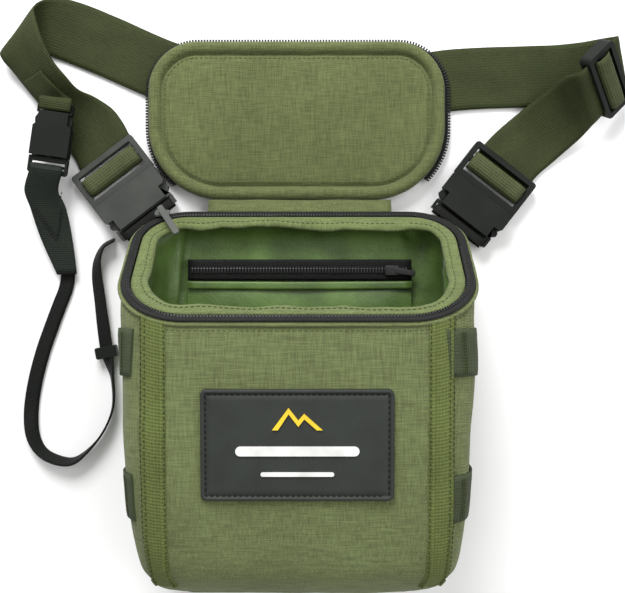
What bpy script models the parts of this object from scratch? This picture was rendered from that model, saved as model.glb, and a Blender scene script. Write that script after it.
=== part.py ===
"""Binocular harness pack, lying on its back panel with the lid unzipped and laid open.

Frame: metres, +Z up. The origin is the centre of the back panel's rest face, +Y runs from the
bottom of the bag to the lid, and +Z from the wearer's side to the front pocket.
The mouth is slanted: its hinge edge is low at the back, and its front edge stands high.
"""

import math

import bmesh
import bpy
from mathutils import Matrix, Vector

# ---------------------------------------------------------------- driving dimensions

GAP = 0.0004  # between touching pieces

MOUTH_HALF_WIDTH = 0.0965
MOUTH_BACK = Vector((0, 0.108, 0.0150))
MOUTH_FRONT = Vector((0, 0.0445, 0.0980))
BACK_RADIUS, FRONT_RADIUS = 0.031, 0.038  # at the mouth
SHELL_THICKNESS = 0.0012
FOAM_THICKNESS = 0.0050
FOAM_SEAM_X, FOAM_SEAM_Z = 0.066, 0.030
LINING_THICKNESS = 0.0010

# From the mouth to the bottom: back edge (y, z), front edge (y, z), half width, back and front radius.
BODY_STATIONS = (
    ((0.1080, 0.0150), (0.0445, 0.0980), 0.0965, 0.031, 0.038),
    ((0.0960, 0.0052), (0.0230, 0.0978), 0.0970, 0.026, 0.034),
    ((0.0600, 0.0041), (-0.0050, 0.0970), 0.0965, 0.020, 0.030),
    ((0.0000, 0.0041), (-0.0380, 0.0950), 0.0953, 0.017, 0.028),
    ((-0.0500, 0.0041), (-0.0660, 0.0920), 0.0935, 0.016, 0.027),
    ((-0.0850, 0.0046), (-0.0870, 0.0870), 0.0895, 0.016, 0.026),
    ((-0.0990, 0.0085), (-0.0980, 0.0780), 0.0855, 0.015, 0.024),
    ((-0.1060, 0.0180), (-0.1050, 0.0660), 0.0805, 0.014, 0.020),
    ((-0.1085, 0.0270), (-0.1080, 0.0560), 0.0740, 0.012, 0.013),
)
BACK_STEPS, SIDE_STEPS, FRONT_STEPS, CORNER_STEPS = 4, 3, 6, 4

BACK_PANEL_SIZE = (0.176, 0.186)
BACK_PANEL_CENTRE_Y = 0.0
BACK_PANEL_THICKNESS = 0.0034

LID_CENTRE_X = -0.002
LID_WIDTH, LID_LENGTH = 0.1825, 0.0974
LID_NEAR_Y = 0.117
LID_NEAR_RADIUS, LID_FAR_RADIUS = 0.045, 0.030
LID_BOTTOM, LID_TOP = 0.0030, 0.0125
LID_EDGE_ROLL = 0.0085
HINGE_Y, HINGE_Z = 0.1125, 0.0130
HINGE_HALF_WIDTH = 0.050

PATCH_SIZE = (0.100, 0.058, 0.0026)
PATCH_Y = -0.019
FRONT_TAPE_X = 0.0752
FRONT_TAPE_WIDTH = 0.0085
FRONT_TAPE_FROM_SIDE = 0.0135  # near the bottom, where the bag narrows
LOOP_WIDTH = 0.025
LOOP_CENTRES_Y = (0.0280, -0.0490)

WEBBING = 0.038
WEBBING_THICKNESS = 0.0014
TETHER_RADIUS = 0.0014

LEFT_BUCKLE_AT = (-0.1232, 0.1442)
LEFT_BUCKLE_ANGLE = 127.3
RIGHT_BUCKLE_AT = (0.1282, 0.1401)
RIGHT_BUCKLE_ANGLE = 52.2

# The harness webbing's two edges, hand-placed along its run, with the lower edge first.
STRAP_BACK = (
    ((0.0940, 0.1730, 0.0012), (0.0890, 0.2110, 0.0012)),
    ((0.0450, 0.1640, 0.0012), (0.0370, 0.2010, 0.0012)),
    ((0.0000, 0.1590, 0.0012), (0.0000, 0.1970, 0.0012)),
    ((-0.0450, 0.1650, 0.0012), (-0.0350, 0.2020, 0.0012)),
    ((-0.0930, 0.1815, 0.0012), (-0.0785, 0.2160, 0.0012)),
    ((-0.1250, 0.1953, 0.0012), (-0.1100, 0.2297, 0.0012)),
)
STRAP_LEFT = (
    ((-0.1255, 0.1955, 0.0012), (-0.1105, 0.2299, 0.0012)),
    ((-0.1458, 0.2039, 0.0013), (-0.1308, 0.2383, 0.0016)),
    ((-0.1620, 0.2095, 0.0018), (-0.1460, 0.2420, 0.0050)),
    ((-0.1760, 0.2120, 0.0035), (-0.1560, 0.2400, 0.0100)),
    ((-0.1840, 0.2085, 0.0070), (-0.1610, 0.2335, 0.0160)),
    ((-0.1825, 0.2030, 0.0085), (-0.1585, 0.2240, 0.0215)),
    ((-0.1770, 0.1965, 0.0065), (-0.1530, 0.2090, 0.0250)),
    ((-0.1720, 0.1900, 0.0045), (-0.1470, 0.1975, 0.0240)),
    ((-0.1670, 0.1835, 0.0033), (-0.1410, 0.1900, 0.0205)),
    ((-0.1600, 0.1745, 0.0024), (-0.1355, 0.1840, 0.0130)),
    ((-0.1520, 0.1615, 0.0019), (-0.1270, 0.1808, 0.0066)),
    ((-0.1450, 0.1500, 0.0014), (-0.1170, 0.1745, 0.0022)),
    ((-0.1400, 0.1425, 0.0012), (-0.1105, 0.1660, 0.0013)),
    ((-0.1372, 0.1365, 0.0012), (-0.1070, 0.1595, 0.0012)),
    ((-0.1340, 0.1323, 0.0012), (-0.1038, 0.1553, 0.0012)),
)
STRAP_RIGHT = (
    ((0.0946, 0.1730, 0.0012), (0.0896, 0.2110, 0.0012)),
    ((0.1420, 0.1755, 0.0012), (0.1410, 0.2135, 0.0012)),
    ((0.1600, 0.1760, 0.0012), (0.1585, 0.2140, 0.0020)),
    ((0.1760, 0.1770, 0.0012), (0.1720, 0.2145, 0.0055)),
    ((0.1900, 0.1790, 0.0013), (0.1820, 0.2145, 0.0130)),
    ((0.1985, 0.1820, 0.0018), (0.1880, 0.2135, 0.0215)),
    ((0.2015, 0.1855, 0.0058), (0.1880, 0.2110, 0.0310)),
    ((0.2008, 0.1845, 0.0094), (0.1830, 0.2073, 0.0340)),
    ((0.1924, 0.1761, 0.0112), (0.1746, 0.1989, 0.0357)),
    ((0.1819, 0.1656, 0.0133), (0.1641, 0.1884, 0.0378)),
    ((0.1778, 0.1606, 0.0095), (0.1583, 0.1878, 0.0290)),
    ((0.1723, 0.1545, 0.0050), (0.1510, 0.1830, 0.0170)),
    ((0.1569, 0.1406, 0.0016), (0.1337, 0.1697, 0.0024)),
    ((0.1484, 0.1333, 0.0012), (0.1211, 0.1587, 0.0013)),
    ((0.1420, 0.1258, 0.0012), (0.1121, 0.1489, 0.0012)),
    ((0.1385, 0.1210, 0.0012), (0.1085, 0.1443, 0.0012)),
)

TRI_GLIDE_AT = Vector((0.1835, 0.1875, 0.0234))
TRI_GLIDE_BAR = Vector((0.470, -0.600, -0.647))
TRI_GLIDE_CROSS = Vector((0.700, 0.700, -0.140))
TRI_GLIDE_SIZE = (0.046, 0.021, 0.008)

SMALL_BUCKLE_TOP = Vector((-0.1478, 0.1745, 0.0150))
SMALL_BUCKLE_AXIS = Vector((-0.140, -0.990, 0.0))

# The tether's route, hand-placed, from the leader round to the bag's back corner.
TETHER_ROUTE = (
    (-0.1452, 0.0655, 0.0016), (-0.1468, 0.0600, 0.0016), (-0.1494, 0.0535, 0.0016),
    (-0.1548, 0.0390, 0.0016), (-0.1606, 0.0220, 0.0016), (-0.1655, 0.0020, 0.0016),
    (-0.1675, -0.0160, 0.0016), (-0.1650, -0.0310, 0.0016), (-0.1570, -0.0410, 0.0016),
    (-0.1430, -0.0450, 0.0016), (-0.1328, -0.0395, 0.0016), (-0.1222, -0.0270, 0.0016),
    (-0.1158, -0.0110, 0.0016), (-0.1162, 0.0070, 0.0016), (-0.1200, 0.0230, 0.0016),
    (-0.1222, 0.0380, 0.0016), (-0.1242, 0.0550, 0.0016), (-0.1260, 0.0700, 0.0016),
    (-0.1256, 0.0800, 0.0016), (-0.1218, 0.0885, 0.0016), (-0.1150, 0.0925, 0.0016),
)
TETHER_LOCK_STATION = 14

# ---------------------------------------------------------------- materials

COLOURS = {
    "shell_fabric": ((0.18, 0.22, 0.09), 0.85),
    "lid_fabric": ((0.17, 0.21, 0.08), 0.85),
    "lining_satin": ((0.12, 0.24, 0.05), 0.45),
    "padding_foam": ((0.05, 0.05, 0.05), 0.95),
    "green_webbing": ((0.07, 0.09, 0.035), 0.80),
    "black_webbing": ((0.03, 0.035, 0.03), 0.80),
    "moulded_plastic": ((0.04, 0.045, 0.04), 0.45),
    "patch_rubber": ((0.05, 0.055, 0.05), 0.60),
    "grey_pull": ((0.35, 0.36, 0.34), 0.50),
}


def material(name):
    found = bpy.data.materials.get(name)
    if found:
        return found
    colour, roughness = COLOURS[name]
    made = bpy.data.materials.new(name)
    made.use_nodes = True
    shader = made.node_tree.nodes["Principled BSDF"]
    shader.inputs["Base Color"].default_value = (*colour, 1)
    shader.inputs["Roughness"].default_value = roughness
    shader.inputs["Metallic"].default_value = 0.0
    return made


# ---------------------------------------------------------------- mesh helpers


def make_object(name, points, faces, look, origin=(0, 0, 0)):
    """One closed mesh object, its faces turned outwards and its origin at the given point."""
    origin = Vector(origin)
    mesh = bpy.data.meshes.new(name)
    work = bmesh.new()
    corners = [work.verts.new(Vector(point) - origin) for point in points]
    for face in faces:
        work.faces.new([corners[index] for index in face])
    bmesh.ops.recalc_face_normals(work, faces=work.faces)
    work.to_mesh(mesh)
    work.free()
    mesh.materials.append(material(look))
    made = bpy.data.objects.new(name, mesh)
    made.location = origin
    bpy.context.collection.objects.link(made)
    return made


def chain(name, rings, look, origin=(0, 0, 0)):
    """A solid through a chain of equal closed rings, with a flat cap at each end."""
    count = len(rings[0])
    points = [point for ring in rings for point in ring]
    faces = []
    for level in range(len(rings) - 1):
        for index in range(count):
            after = (index + 1) % count
            a, b = level * count + index, level * count + after
            faces.append((a, b, b + count, a + count))
    faces.append(tuple(range(count)))
    faces.append(tuple(len(points) - count + index for index in range(count)))
    return make_object(name, points, faces, look, origin)


def loop_solid(name, sections, look, origin=(0, 0, 0)):
    """A ring-shaped solid: equal sections joined one to the next and the last to the first."""
    count = len(sections[0])
    points = [point for section in sections for point in section]
    faces = []
    for level in range(len(sections)):
        ahead = (level + 1) % len(sections)
        for index in range(count):
            after = (index + 1) % count
            faces.append((level * count + index, level * count + after,
                          ahead * count + after, ahead * count + index))
    return make_object(name, points, faces, look, origin)


def slab(name, outline, bottom, top, look, matrix=None, origin=(0, 0, 0)):
    """A flat outline of (x, y) pairs, extruded from bottom to top and then placed by the matrix."""
    matrix = matrix or Matrix.Identity(4)
    rings = [[matrix @ Vector((x, y, z)) for x, y in outline] for z in (bottom, top)]
    return chain(name, rings, look, origin)


def rectangle(x_low, x_high, y_low, y_high):
    return [(x_low, y_low), (x_high, y_low), (x_high, y_high), (x_low, y_high)]


def rounded_outline(x_low, x_high, y_low, y_high, low_radius, high_radius, steps=6):
    """A rectangle's outline with round corners, one radius at its low-y end and one at its high-y end."""
    centres = (
        (x_low + low_radius, y_low + low_radius, 180, low_radius),
        (x_high - low_radius, y_low + low_radius, 270, low_radius),
        (x_high - high_radius, y_high - high_radius, 0, high_radius),
        (x_low + high_radius, y_high - high_radius, 90, high_radius),
    )
    outline = []
    for x, y, start, radius in centres:
        for step in range(steps + 1):
            angle = math.radians(start + 90 * step / steps)
            outline.append((x + radius * math.cos(angle), y + radius * math.sin(angle)))
    return outline


def cut(target, cutter):
    cutter.hide_render = True
    cutter.display_type = "WIRE"
    modifier = target.modifiers.new("Cut " + cutter.name, "BOOLEAN")
    modifier.operation = "DIFFERENCE"
    modifier.object = cutter


def join(target, addition):
    addition.hide_render = True
    addition.display_type = "WIRE"
    modifier = target.modifiers.new("Join " + addition.name, "BOOLEAN")
    modifier.operation = "UNION"
    modifier.object = addition


def round_edges(target, width, segments=1):
    modifier = target.modifiers.new("Round edges", "BEVEL")
    modifier.width = width
    modifier.segments = segments
    modifier.limit_method = "ANGLE"
    modifier.angle_limit = math.radians(40)


def smooth_path(points, steps):
    """Points on a Catmull-Rom curve through the given ones, with so many steps in each stretch."""
    points = [Vector(point) for point in points]
    ends = [2 * points[0] - points[1]] + points + [2 * points[-1] - points[-2]]
    found = []
    for index in range(1, len(ends) - 2):
        before, start, end, after = ends[index - 1:index + 3]
        for step in range(steps):
            t = step / steps
            found.append(0.5 * (2 * start + (end - before) * t
                                + (2 * before - 5 * start + 4 * end - after) * t ** 2
                                + (3 * start - before - 3 * end + after) * t ** 3))
    return found + [points[-1]]


def ribbon(name, edges, look, steps=2, thickness=WEBBING_THICKNESS, origin=(0, 0, 0)):
    """Webbing as a closed solid between two edge lines, with its thickness along the surface."""
    low = smooth_path([pair[0] for pair in edges], steps)
    high = smooth_path([pair[1] for pair in edges], steps)
    middle = [(a + b) / 2 for a, b in zip(low, high)]
    rings = []
    for index, (a, b) in enumerate(zip(low, high)):
        along = middle[min(index + 1, len(middle) - 1)] - middle[max(index - 1, 0)]
        side = ((b - a).cross(along)).normalized() * (thickness / 2)
        rings.append([a - side, b - side, b + side, a + side])
    return chain(name, rings, look, origin)


# ---------------------------------------------------------------- the bag's body


def section_outline(half_width, depth, back_radius, front_radius):
    """(x, distance from the back edge) round a body section, counter-clockwise from the back left."""
    def corner(x, t, radius, start):
        return [(x + radius * math.cos(math.radians(start + 90 * step / CORNER_STEPS)),
                 t + radius * math.sin(math.radians(start + 90 * step / CORNER_STEPS)))
                for step in range(CORNER_STEPS)]

    def straight(x_start, t_start, x_end, t_end, steps):
        return [(x_start + (x_end - x_start) * step / steps,
                 t_start + (t_end - t_start) * step / steps) for step in range(steps)]

    inner_back, inner_front = half_width - back_radius, half_width - front_radius
    return (
        straight(-inner_back, 0, inner_back, 0, BACK_STEPS)
        + corner(inner_back, back_radius, back_radius, 270)
        + straight(half_width, back_radius, half_width, depth - front_radius, SIDE_STEPS)
        + corner(inner_front, depth - front_radius, front_radius, 0)
        + straight(inner_front, depth, -inner_front, depth, FRONT_STEPS)
        + corner(-inner_front, depth - front_radius, front_radius, 90)
        + straight(-half_width, depth - front_radius, -half_width, back_radius, SIDE_STEPS)
        + corner(-inner_back, back_radius, back_radius, 180)
    )


def body_rings():
    """The bag's outer surface as rings from the mouth to the bottom."""
    rings = []
    for (back_y, back_z), (front_y, front_z), half_width, back_radius, front_radius in BODY_STATIONS:
        back = Vector((0, back_y, back_z))
        across = Vector((0, front_y, front_z)) - back
        depth = across.length
        across.normalize()
        ring = [back + across * t + Vector((x, 0, 0))
                for x, t in section_outline(half_width, depth, back_radius, front_radius)]
        rings.append(ring)
    return rings


def outward_normals(rings):
    """A smooth outward direction at each point of the body, kept in the mouth's plane at the mouth."""
    mouth_normal = Vector((0, MOUTH_FRONT.z - MOUTH_BACK.z, MOUTH_BACK.y - MOUTH_FRONT.y)).normalized()
    count = len(rings[0])
    normals = []
    for level, ring in enumerate(rings):
        above = rings[max(level - 1, 0)]
        below = rings[min(level + 1, len(rings) - 1)]
        row = []
        for index in range(count):
            round_the_ring = ring[(index + 1) % count] - ring[index - 1]
            down_the_body = below[index] - above[index]
            normal = round_the_ring.cross(down_the_body).normalized()
            if level == 0:
                normal = (normal - mouth_normal * normal.dot(mouth_normal)).normalized()
            if level == len(rings) - 1:
                normal = (normal + Vector((0, -1, 0))).normalized() * math.sqrt(2)
            row.append(normal)
        normals.append(row)
    return normals


RINGS = body_rings()
NORMALS = outward_normals(RINGS)


def body_surface(inset):
    return [[point - normal * inset for point, normal in zip(ring, row)]
            for ring, row in zip(RINGS, NORMALS)]


def cup(name, outer_inset, thickness, look):
    """One layer of the bag: an open cup between two insets from its outer surface."""
    outer = body_surface(outer_inset)
    inner = body_surface(outer_inset + thickness)
    return chain(name, outer[::-1] + inner, look)


MOUTH_ACROSS = (MOUTH_FRONT - MOUTH_BACK).normalized()
MOUTH_UP = Vector((0, MOUTH_ACROSS.z, -MOUTH_ACROSS.y))
MOUTH_DEPTH = (MOUTH_FRONT - MOUTH_BACK).length


def mouth_point(x, t, height):
    """A point by its distance from the hinge edge in the mouth's plane and its height over it."""
    return MOUTH_BACK + Vector((x, 0, 0)) + MOUTH_ACROSS * t + MOUTH_UP * height


def mouth_outline(inset):
    """The mouth's outline at an inset, with more points than the body has."""
    back, front = BACK_RADIUS - inset, FRONT_RADIUS - inset
    half = MOUTH_HALF_WIDTH
    outline = rounded_outline(-half + inset, half - inset, inset, MOUTH_DEPTH - inset, back, front, 7)
    return outline


def mouth_band(name, outer, inner, bottom, top, look, closed=True):
    """A flat band round the mouth between two insets. An open one leaves out the hinge edge."""
    pairs = list(zip(mouth_outline(outer), mouth_outline(inner)))
    if not closed:
        corner = 8
        pairs = pairs[corner + 2:] + pairs[:corner - 2]
    sections = [[mouth_point(*a, bottom), mouth_point(*b, bottom), mouth_point(*b, top), mouth_point(*a, top)]
                for a, b in pairs]
    return loop_solid(name, sections, look) if closed else chain(name, sections, look)


def line_point(ring_index, y):
    """The point and normal at a height y on one of the lines that run down the body."""
    for level in range(len(RINGS) - 1):
        above, below = RINGS[level][ring_index], RINGS[level + 1][ring_index]
        if above.y >= y >= below.y:
            share = (above.y - y) / (above.y - below.y)
            normal = NORMALS[level][ring_index].lerp(NORMALS[level + 1][ring_index], share)
            return above.lerp(below, share), normal.normalized()
    raise ValueError(f"no body line {ring_index} at y = {y}")


def front_height(y):
    """The front panel's z at a height y on the body's centre line."""
    stations = [station[1] for station in BODY_STATIONS]
    for (y_above, z_above), (y_below, z_below) in zip(stations, stations[1:]):
        if y_above >= y >= y_below:
            return z_above + (z_below - z_above) * (y_above - y) / (y_above - y_below)
    raise ValueError(f"the front panel has no y = {y}")


def build_foam(inset):
    """The padding as four pads that meet at narrow seams: one in each side, one in the back and one in the front."""
    far, seam = 0.3, FOAM_SEAM_X
    for name, x_low, x_high, z_low, z_high in (
        ("foam_left", -seam - GAP, far, -far, far),
        ("foam_right", -far, seam + GAP, -far, far),
        ("foam_back", seam, far, FOAM_SEAM_Z, far),
        ("foam_front", seam, far, -far, FOAM_SEAM_Z + GAP),
    ):
        pad = cup(name, inset, FOAM_THICKNESS, "padding_foam")
        if name in ("foam_left", "foam_right"):
            boxes = [(x_low, x_high, z_low, z_high)]
        else:
            boxes = [(x_low, x_high, -far, far), (-x_high, -x_low, -far, far), (-far, far, z_low, z_high)]
        for number, (low, high, bottom, top) in enumerate(boxes):
            cut(pad, slab(f"{name}_trim_{number}", rectangle(low, high, -far, far), bottom, top, "padding_foam"))


def build_body():
    cup("outer_shell", 0, SHELL_THICKNESS, "shell_fabric")
    foam_inset = SHELL_THICKNESS + GAP
    build_foam(foam_inset)
    lining_inset = foam_inset + FOAM_THICKNESS + GAP
    cup("lining", lining_inset, LINING_THICKNESS, "lining_satin")

    width, length = BACK_PANEL_SIZE
    slab("back_panel",
         rounded_outline(-width / 2, width / 2, BACK_PANEL_CENTRE_Y - length / 2,
                         BACK_PANEL_CENTRE_Y + length / 2, 0.018, 0.024, 4),
         0, BACK_PANEL_THICKNESS, "shell_fabric")

    mouth_band("mouth_zipper_tape", -0.0028, 0.0022, GAP, 0.0014, "black_webbing")
    mouth_band("mouth_zipper_teeth", 0.0026, 0.0048, GAP, 0.0022, "moulded_plastic", closed=False)
    mouth_band("mouth_facing", 0.0052, 0.0130, GAP, 0.0014, "lid_fabric", closed=False)

    hinge_low = MOUTH_BACK.y + 0.0012
    slab("hinge_gusset", rectangle(-HINGE_HALF_WIDTH, HINGE_HALF_WIDTH, hinge_low, HINGE_Y - 0.0004),
         0.0085, 0.0120, "lid_fabric")


def build_inner_pocket():
    inner_back = BODY_STATIONS[2][0][1] + SHELL_THICKNESS + FOAM_THICKNESS + LINING_THICKNESS + 3 * GAP
    low, high = inner_back + 0.0006, inner_back + 0.0022
    slab("inner_pocket", rectangle(-0.068, 0.068, -0.030, 0.0660), low, high, "lining_satin")
    slab("inner_pocket_zipper", rectangle(-0.068, 0.068, 0.0664, 0.0800), low, high, "black_webbing")


def build_front():
    slope = math.atan2(front_height(PATCH_Y - 0.02) - front_height(PATCH_Y + 0.02), 0.04)
    width, length, thickness = PATCH_SIZE
    patch_place = (Matrix.Translation((0, PATCH_Y, front_height(PATCH_Y) + 0.0009))
                   @ Matrix.Rotation(-slope, 4, "X"))
    patch = slab("front_patch", rounded_outline(-width / 2, width / 2, -length / 2, length / 2, 0.003, 0.003, 2),
                 0, thickness, "patch_rubber", patch_place)
    round_edges(patch, 0.0005)

    lift = 0.0021
    for side, sign in (("left", -1), ("right", 1)):
        edges = []
        for _, (front_y, front_z), half_width, _, radius in BODY_STATIONS[:7]:
            centre = sign * min(FRONT_TAPE_X, half_width - FRONT_TAPE_FROM_SIDE)
            pair = []
            for x in (centre - FRONT_TAPE_WIDTH / 2, centre + FRONT_TAPE_WIDTH / 2):
                over = max(0.0, abs(x) - (half_width - radius))
                drop = radius - math.sqrt(radius ** 2 - over ** 2)
                pair.append((x, front_y - 0.0018, front_z - drop + lift + WEBBING_THICKNESS / 2))
            edges.append(pair)
        ribbon(f"{side}_front_tape", edges, "green_webbing", steps=1, thickness=0.0010)


def build_side_loops():
    right_first = BACK_STEPS + CORNER_STEPS + 1
    right_lines = list(range(right_first, right_first + SIDE_STEPS + CORNER_STEPS - 2))
    left_first = BACK_STEPS + SIDE_STEPS + FRONT_STEPS + 2 * CORNER_STEPS + 2
    left_lines = list(range(left_first, left_first + CORNER_STEPS + SIDE_STEPS - 2))
    lift = 0.0009 + WEBBING_THICKNESS / 2
    for side, lines in (("left", left_lines), ("right", right_lines)):
        for level, centre in zip(("upper", "lower"), LOOP_CENTRES_Y):
            edges = []
            for line in lines:
                pair = []
                for y in (centre - LOOP_WIDTH / 2, centre + LOOP_WIDTH / 2):
                    point, normal = line_point(line, y)
                    pair.append(point + normal * lift)
                edges.append(pair)
            ribbon(f"{side}_loop_{level}", edges, "green_webbing", steps=1, thickness=WEBBING_THICKNESS)


# ---------------------------------------------------------------- the lid


def lid_outline(inset, right_reach=0.0):
    left = LID_CENTRE_X - LID_WIDTH / 2 + inset
    right = LID_CENTRE_X + LID_WIDTH / 2 - inset + right_reach
    return rounded_outline(left, right, LID_NEAR_Y + inset, LID_NEAR_Y + LID_LENGTH - inset,
                           LID_NEAR_RADIUS - inset, LID_FAR_RADIUS - inset, 7)


def lid_band(name, outer, inner, bottom, top, look, reach=0.0):
    """A band that follows the lid's edge and leaves out its hinge side."""
    corner = 8
    pairs = list(zip(lid_outline(outer, reach), lid_outline(inner, reach)))
    pairs = pairs[corner + 2:] + pairs[:corner - 2]
    sections = [[(*a, bottom), (*b, bottom), (*b, top), (*a, top)] for a, b in pairs]
    return chain(name, sections, look, (0, HINGE_Y, HINGE_Z))


def build_lid():
    hinge = (0, HINGE_Y, HINGE_Z)
    outer_bottom = LID_BOTTOM + 0.0014
    inside_bottom = outer_bottom + 0.0014
    slab("lid_outer", lid_outline(0.0006), outer_bottom, outer_bottom + 0.0010, "shell_fabric", origin=hinge)
    foam_top = LID_TOP - 0.0022
    slab("lid_foam", lid_outline(LID_EDGE_ROLL + GAP), inside_bottom, foam_top, "padding_foam", origin=hinge)
    slab("lid_lining", lid_outline(LID_EDGE_ROLL + GAP), foam_top + GAP, foam_top + 0.0014,
         "lid_fabric", origin=hinge)

    sections = []
    middle = (inside_bottom + LID_TOP) / 2
    for outer, between, inner in zip(lid_outline(0), lid_outline(LID_EDGE_ROLL / 2), lid_outline(LID_EDGE_ROLL)):
        near = lid_mix(outer, between, 0.35)
        far = lid_mix(inner, between, 0.35)
        sections.append([(*near, inside_bottom), (*far, inside_bottom), (*inner, middle),
                         (*far, LID_TOP - 0.0006), (*between, LID_TOP), (*near, LID_TOP - 0.0006),
                         (*outer, middle)])
    loop_solid("lid_edge_roll", sections, "lid_fabric", hinge)

    lid_band("lid_zipper_tape", 0.0010, 0.0080, LID_BOTTOM, LID_BOTTOM + 0.0010, "black_webbing", 0.0040)
    lid_band("lid_zipper_teeth", -0.0014, 0.0006, LID_BOTTOM - 0.0002, LID_BOTTOM + 0.0010,
             "moulded_plastic", 0.0040)


def lid_mix(a, b, share):
    return tuple(p + (q - p) * share for p, q in zip(a, b))


# ---------------------------------------------------------------- the zip slider


def build_zip_slider():
    """The slider is parked at the left end of the mouth's track, with its pull lying over the opening."""
    place = Matrix.Translation(mouth_point(-0.0825, 0.0050, 0.0026)) @ Matrix.Rotation(
        math.atan2(MOUTH_UP.y, MOUTH_UP.z) * -1, 4, "X")
    slider = slab("zip_slider", rounded_outline(-0.0045, 0.0045, -0.0030, 0.0030, 0.0014, 0.0014, 2),
                  0, 0.0016, "grey_pull", place, mouth_point(-0.0825, 0.0050, 0.0026))
    round_edges(slider, 0.0004)

    along = Vector((0.580, -0.780, 0.620)).normalized()
    side = Vector((0, 0, 1)).cross(along).normalized()
    start = mouth_point(-0.0835, 0.0052, 0.0076)
    pull_place = Matrix((
        (side.x, along.x, side.cross(along).x, start.x),
        (side.y, along.y, side.cross(along).y, start.y),
        (side.z, along.z, side.cross(along).z, start.z),
        (0, 0, 0, 1),
    ))
    pull = slab("zip_pull", rounded_outline(-0.0019, 0.0019, -0.0010, 0.0245, 0.0012, 0.0012, 2),
                -0.0009, 0.0009, "grey_pull", pull_place, start)
    round_edges(pull, 0.0003)


# ---------------------------------------------------------------- side-release buckles


class BuckleSize:
    """Lengths of a side-release buckle, measured from the male frame's outer edge down to the female's end."""

    def __init__(self, webbing, frame, bars, sleeve, paddle, tail, thickness):
        self.half_frame = webbing / 2 + 0.0040 * webbing / WEBBING
        self.half_slot = webbing / 2 + 0.0004
        self.frame, self.bars = frame, bars
        self.sleeve, self.paddle, self.tail = sleeve, paddle, tail
        self.thickness = thickness
        self.scale = webbing / WEBBING


LARGE_BUCKLE = BuckleSize(WEBBING, 0.0241, ((0.0036, 0.0100), (0.0132, 0.0200)), 0.0128, 0.0066, 0.0064, 0.0110)
SMALL_BUCKLE = BuckleSize(0.020, 0.0105, ((0.0030, 0.0075),), 0.0190, 0.0070, 0.0062, 0.0078)


def build_buckle(prefix, place, size):
    """Female, male and two release arms. Local +Y points from the female out through the male's frame."""
    k = size.scale
    middle = size.thickness / 2
    frame_low, frame_high = middle - 0.0026 * (0.55 + 0.45 * k), middle + 0.0020 * (0.55 + 0.45 * k)
    arm_low, arm_high = middle - 0.0016, middle + 0.0016
    half = size.half_frame

    def at(y):
        return place @ Vector((0, y, middle))

    shoulder = -size.frame
    guide_end = shoulder - size.sleeve + 0.0035
    outline = [(-half, -0.0012), (-half + 0.0012, 0), (half - 0.0012, 0), (half, -0.0012), (half, shoulder),
               (0.0030 * k, shoulder), (0.0030 * k, guide_end), (-0.0030 * k, guide_end),
               (-0.0030 * k, shoulder), (-half, shoulder)]
    male = slab(f"{prefix}_buckle_male", outline, frame_low, frame_high, "moulded_plastic", place, at(0))
    for number, (start, end) in enumerate(size.bars):
        cut(male, slab(f"{prefix}_male_slot_{number}", rectangle(-size.half_slot, size.half_slot, -end, -start),
                       frame_low - 0.001, frame_high + 0.001, "moulded_plastic", place))
    round_edges(male, 0.0004)

    mouth = shoulder - GAP
    sleeve_end = mouth - size.sleeve
    rail = sleeve_end - size.paddle
    end = rail - size.tail
    wide = half - 0.0005
    neck = half * 0.36
    cover = neck + 0.0090 * k
    female = slab(f"{prefix}_buckle_female",
                  [(-wide, mouth), (wide, mouth), (wide, sleeve_end + 0.0015), (wide - 0.0015, sleeve_end),
                   (cover, sleeve_end), (cover, rail - 0.0010), (-cover, rail - 0.0010), (-cover, sleeve_end),
                   (-wide + 0.0015, sleeve_end), (-wide, sleeve_end + 0.0015)],
                  0, size.thickness, "moulded_plastic", place, at(end))
    tail_half = wide - 0.0018 * k
    join(female, slab(f"{prefix}_female_tail",
                      [(-neck, sleeve_end + 0.002), (-neck, rail), (-tail_half, rail), (-tail_half, end),
                       (tail_half, end), (tail_half, rail), (neck, rail), (neck, sleeve_end + 0.002)],
                      middle - 0.0030 * (0.5 + 0.5 * k), middle + 0.0030 * (0.5 + 0.5 * k), "moulded_plastic", place))
    cavity = size.half_frame * 0.85
    wall = 0.0020 * (0.4 + 0.6 * k)
    cut(female, slab(f"{prefix}_female_cavity", rectangle(-cavity, cavity, mouth - size.sleeve + 0.0025, mouth + 0.002),
                     wall, size.thickness - wall, "moulded_plastic", place))
    for sign in (-1, 1):
        sides = sorted((sign * (neck + GAP), sign * (half + 0.004)))
        cut(female, slab(f"{prefix}_female_window_{sign + 1}", rectangle(*sides, rail - 0.0004, mouth + 0.002),
                         arm_low - 0.0006, arm_high + 0.0006, "moulded_plastic", place))
    bar = 0.0022
    cut(female, slab(f"{prefix}_female_slot", rectangle(-size.half_slot * 0.98, size.half_slot * 0.98,
                                                       end + bar, end + bar + 0.0026),
                     -0.001, size.thickness + 0.001, "moulded_plastic", place))
    round_edges(female, 0.0004)

    root_y = shoulder - 0.0011
    for sign, label in ((-1, "a"), (1, "b")):
        inner, thick = 0.0145 * k, 0.0028 * (0.5 + 0.5 * k)
        arm_outline = [
            (inner, shoulder - 0.0007), (inner + thick, shoulder - 0.0007),
            (inner + thick + 0.0006, sleeve_end + 0.0012), (wide - 0.0006 * k, sleeve_end - 0.0010),
            (wide - 0.0002 * k, sleeve_end - 0.0034), (wide - 0.0030 * k, rail + 0.0008),
            (inner + 0.0010 * k, rail + 0.0006), (inner, sleeve_end + 0.0010),
        ]
        arm = slab(f"{prefix}_release_arm_{label}", [(sign * x, y) for x, y in arm_outline], arm_low, arm_high,
                   "moulded_plastic", place, place @ Vector((sign * (inner + thick / 2), root_y, middle)))
        round_edges(arm, 0.0003)


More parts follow.
